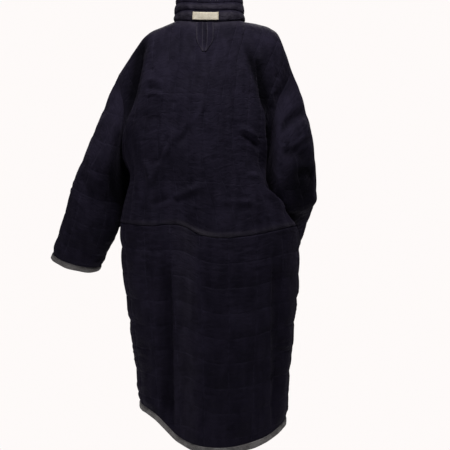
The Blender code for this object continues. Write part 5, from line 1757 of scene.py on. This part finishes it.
def snap_metal():
    """Dark satin metal, slightly scuffed in patches."""
    recipe = Recipe("snap_metal", SNAP_DARK, 0.35)
    recipe.set(Metallic=0.85)
    scuffs = recipe.noise(700.0, 4.0)
    recipe.colour(recipe.mix(recipe.spread(scuffs, 0.52, 0.72, 0.0, 0.6), SNAP_DARK, SNAP_SCUFF))
    recipe.roughness(recipe.spread(recipe.noise(240.0, 3.0), 0.3, 0.7, 0.28, 0.48))
    recipe.bump(scuffs, 0.15, 0.0002)
    return recipe.material


def cream_thread():
    """Thread of the label's stitches."""
    recipe = Recipe("cream_thread", LABEL_EDGE, 0.6)
    recipe.colour(recipe.mix(recipe.noise(2500.0, 2.0), LABEL_EDGE, LABEL_CREAM))
    return recipe.material


def light_studio():
    """A pale floor, a pale surround and soft lamps."""
    bpy.ops.object.select_all(action="DESELECT")
    bpy.ops.mesh.primitive_plane_add(size=FLOOR_SIZE, location=(0.0, -0.4, FLOOR_HEIGHT))
    floor = bpy.context.active_object
    floor.name = "studio_floor"
    paint = Recipe("floor_paint", FLOOR_PALE, 0.9)
    paint.colour(paint.mix(paint.noise(3.0, 2.0), FLOOR_PALE, FLOOR_WARM))
    paint.set(Emission_Color=FLOOR_WARM, Emission_Strength=FLOOR_GLOW)
    floor.data.materials.append(paint.material)
    scene = bpy.context.scene
    scene.view_settings.view_transform = "Standard"
    world = bpy.data.worlds.new("studio_surround")
    world.use_nodes = True
    scene.world = world
    nodes, links = world.node_tree.nodes, world.node_tree.links
    background = nodes["Background"]
    background.inputs["Color"].default_value = SURROUND_LIGHT
    seen = nodes.new("ShaderNodeBackground")
    seen.inputs["Color"].default_value = SURROUND_SEEN
    path = nodes.new("ShaderNodeLightPath")
    blend = nodes.new("ShaderNodeMixShader")
    links.new(path.outputs["Is Camera Ray"], blend.inputs[0])
    links.new(background.outputs[0], blend.inputs[1])
    links.new(seen.outputs[0], blend.inputs[2])
    links.new(blend.outputs[0], nodes["World Output"].inputs["Surface"])
    for name, place, aim, size, power, colour in LAMPS:
        lamp = bpy.data.lights.new(name, "AREA")
        lamp.shape = "RECTANGLE"
        lamp.size, lamp.size_y = size
        lamp.energy = power
        lamp.color = colour
        holder = bpy.data.objects.new(name, lamp)
        holder.location = place
        holder.rotation_mode = "QUATERNION"
        holder.rotation_quaternion = (Vector(aim) - Vector(place)).to_track_quat("-Z", "Y")
        bpy.context.collection.objects.link(holder)


def place_camera():
    """The camera, level with the coat's middle and square to its back."""
    camera = bpy.data.cameras.new("camera")
    camera.sensor_width = 36.0
    camera.lens = CAMERA_LENS
    holder = bpy.data.objects.new("camera", camera)
    holder.location = CAMERA_PLACE
    holder.rotation_euler = (math.pi / 2.0, 0.0, 0.0)
    bpy.context.collection.objects.link(holder)
    bpy.context.scene.camera = holder


def dress_coat():
    """The whole coat, its studio and its camera."""
    cloth = quilted_cotton()
    lining = lining_cotton()
    grey_tape()
    cream = cream_weave()
    belows, hems, skirts, normals = dress_upper(cloth, lining)
    dress_skirt(belows, hems, skirts, normals, cloth, lining)
    dress_loop(cloth)
    outer, flat = dress_label(cream)
    stitch_label(outer, flat, cream_thread())
    dress_snaps(snap_metal())
    for side in ("left", "right"):
        dress_pocket(side, cloth)
    light_studio()
    place_camera()


dress_coat()
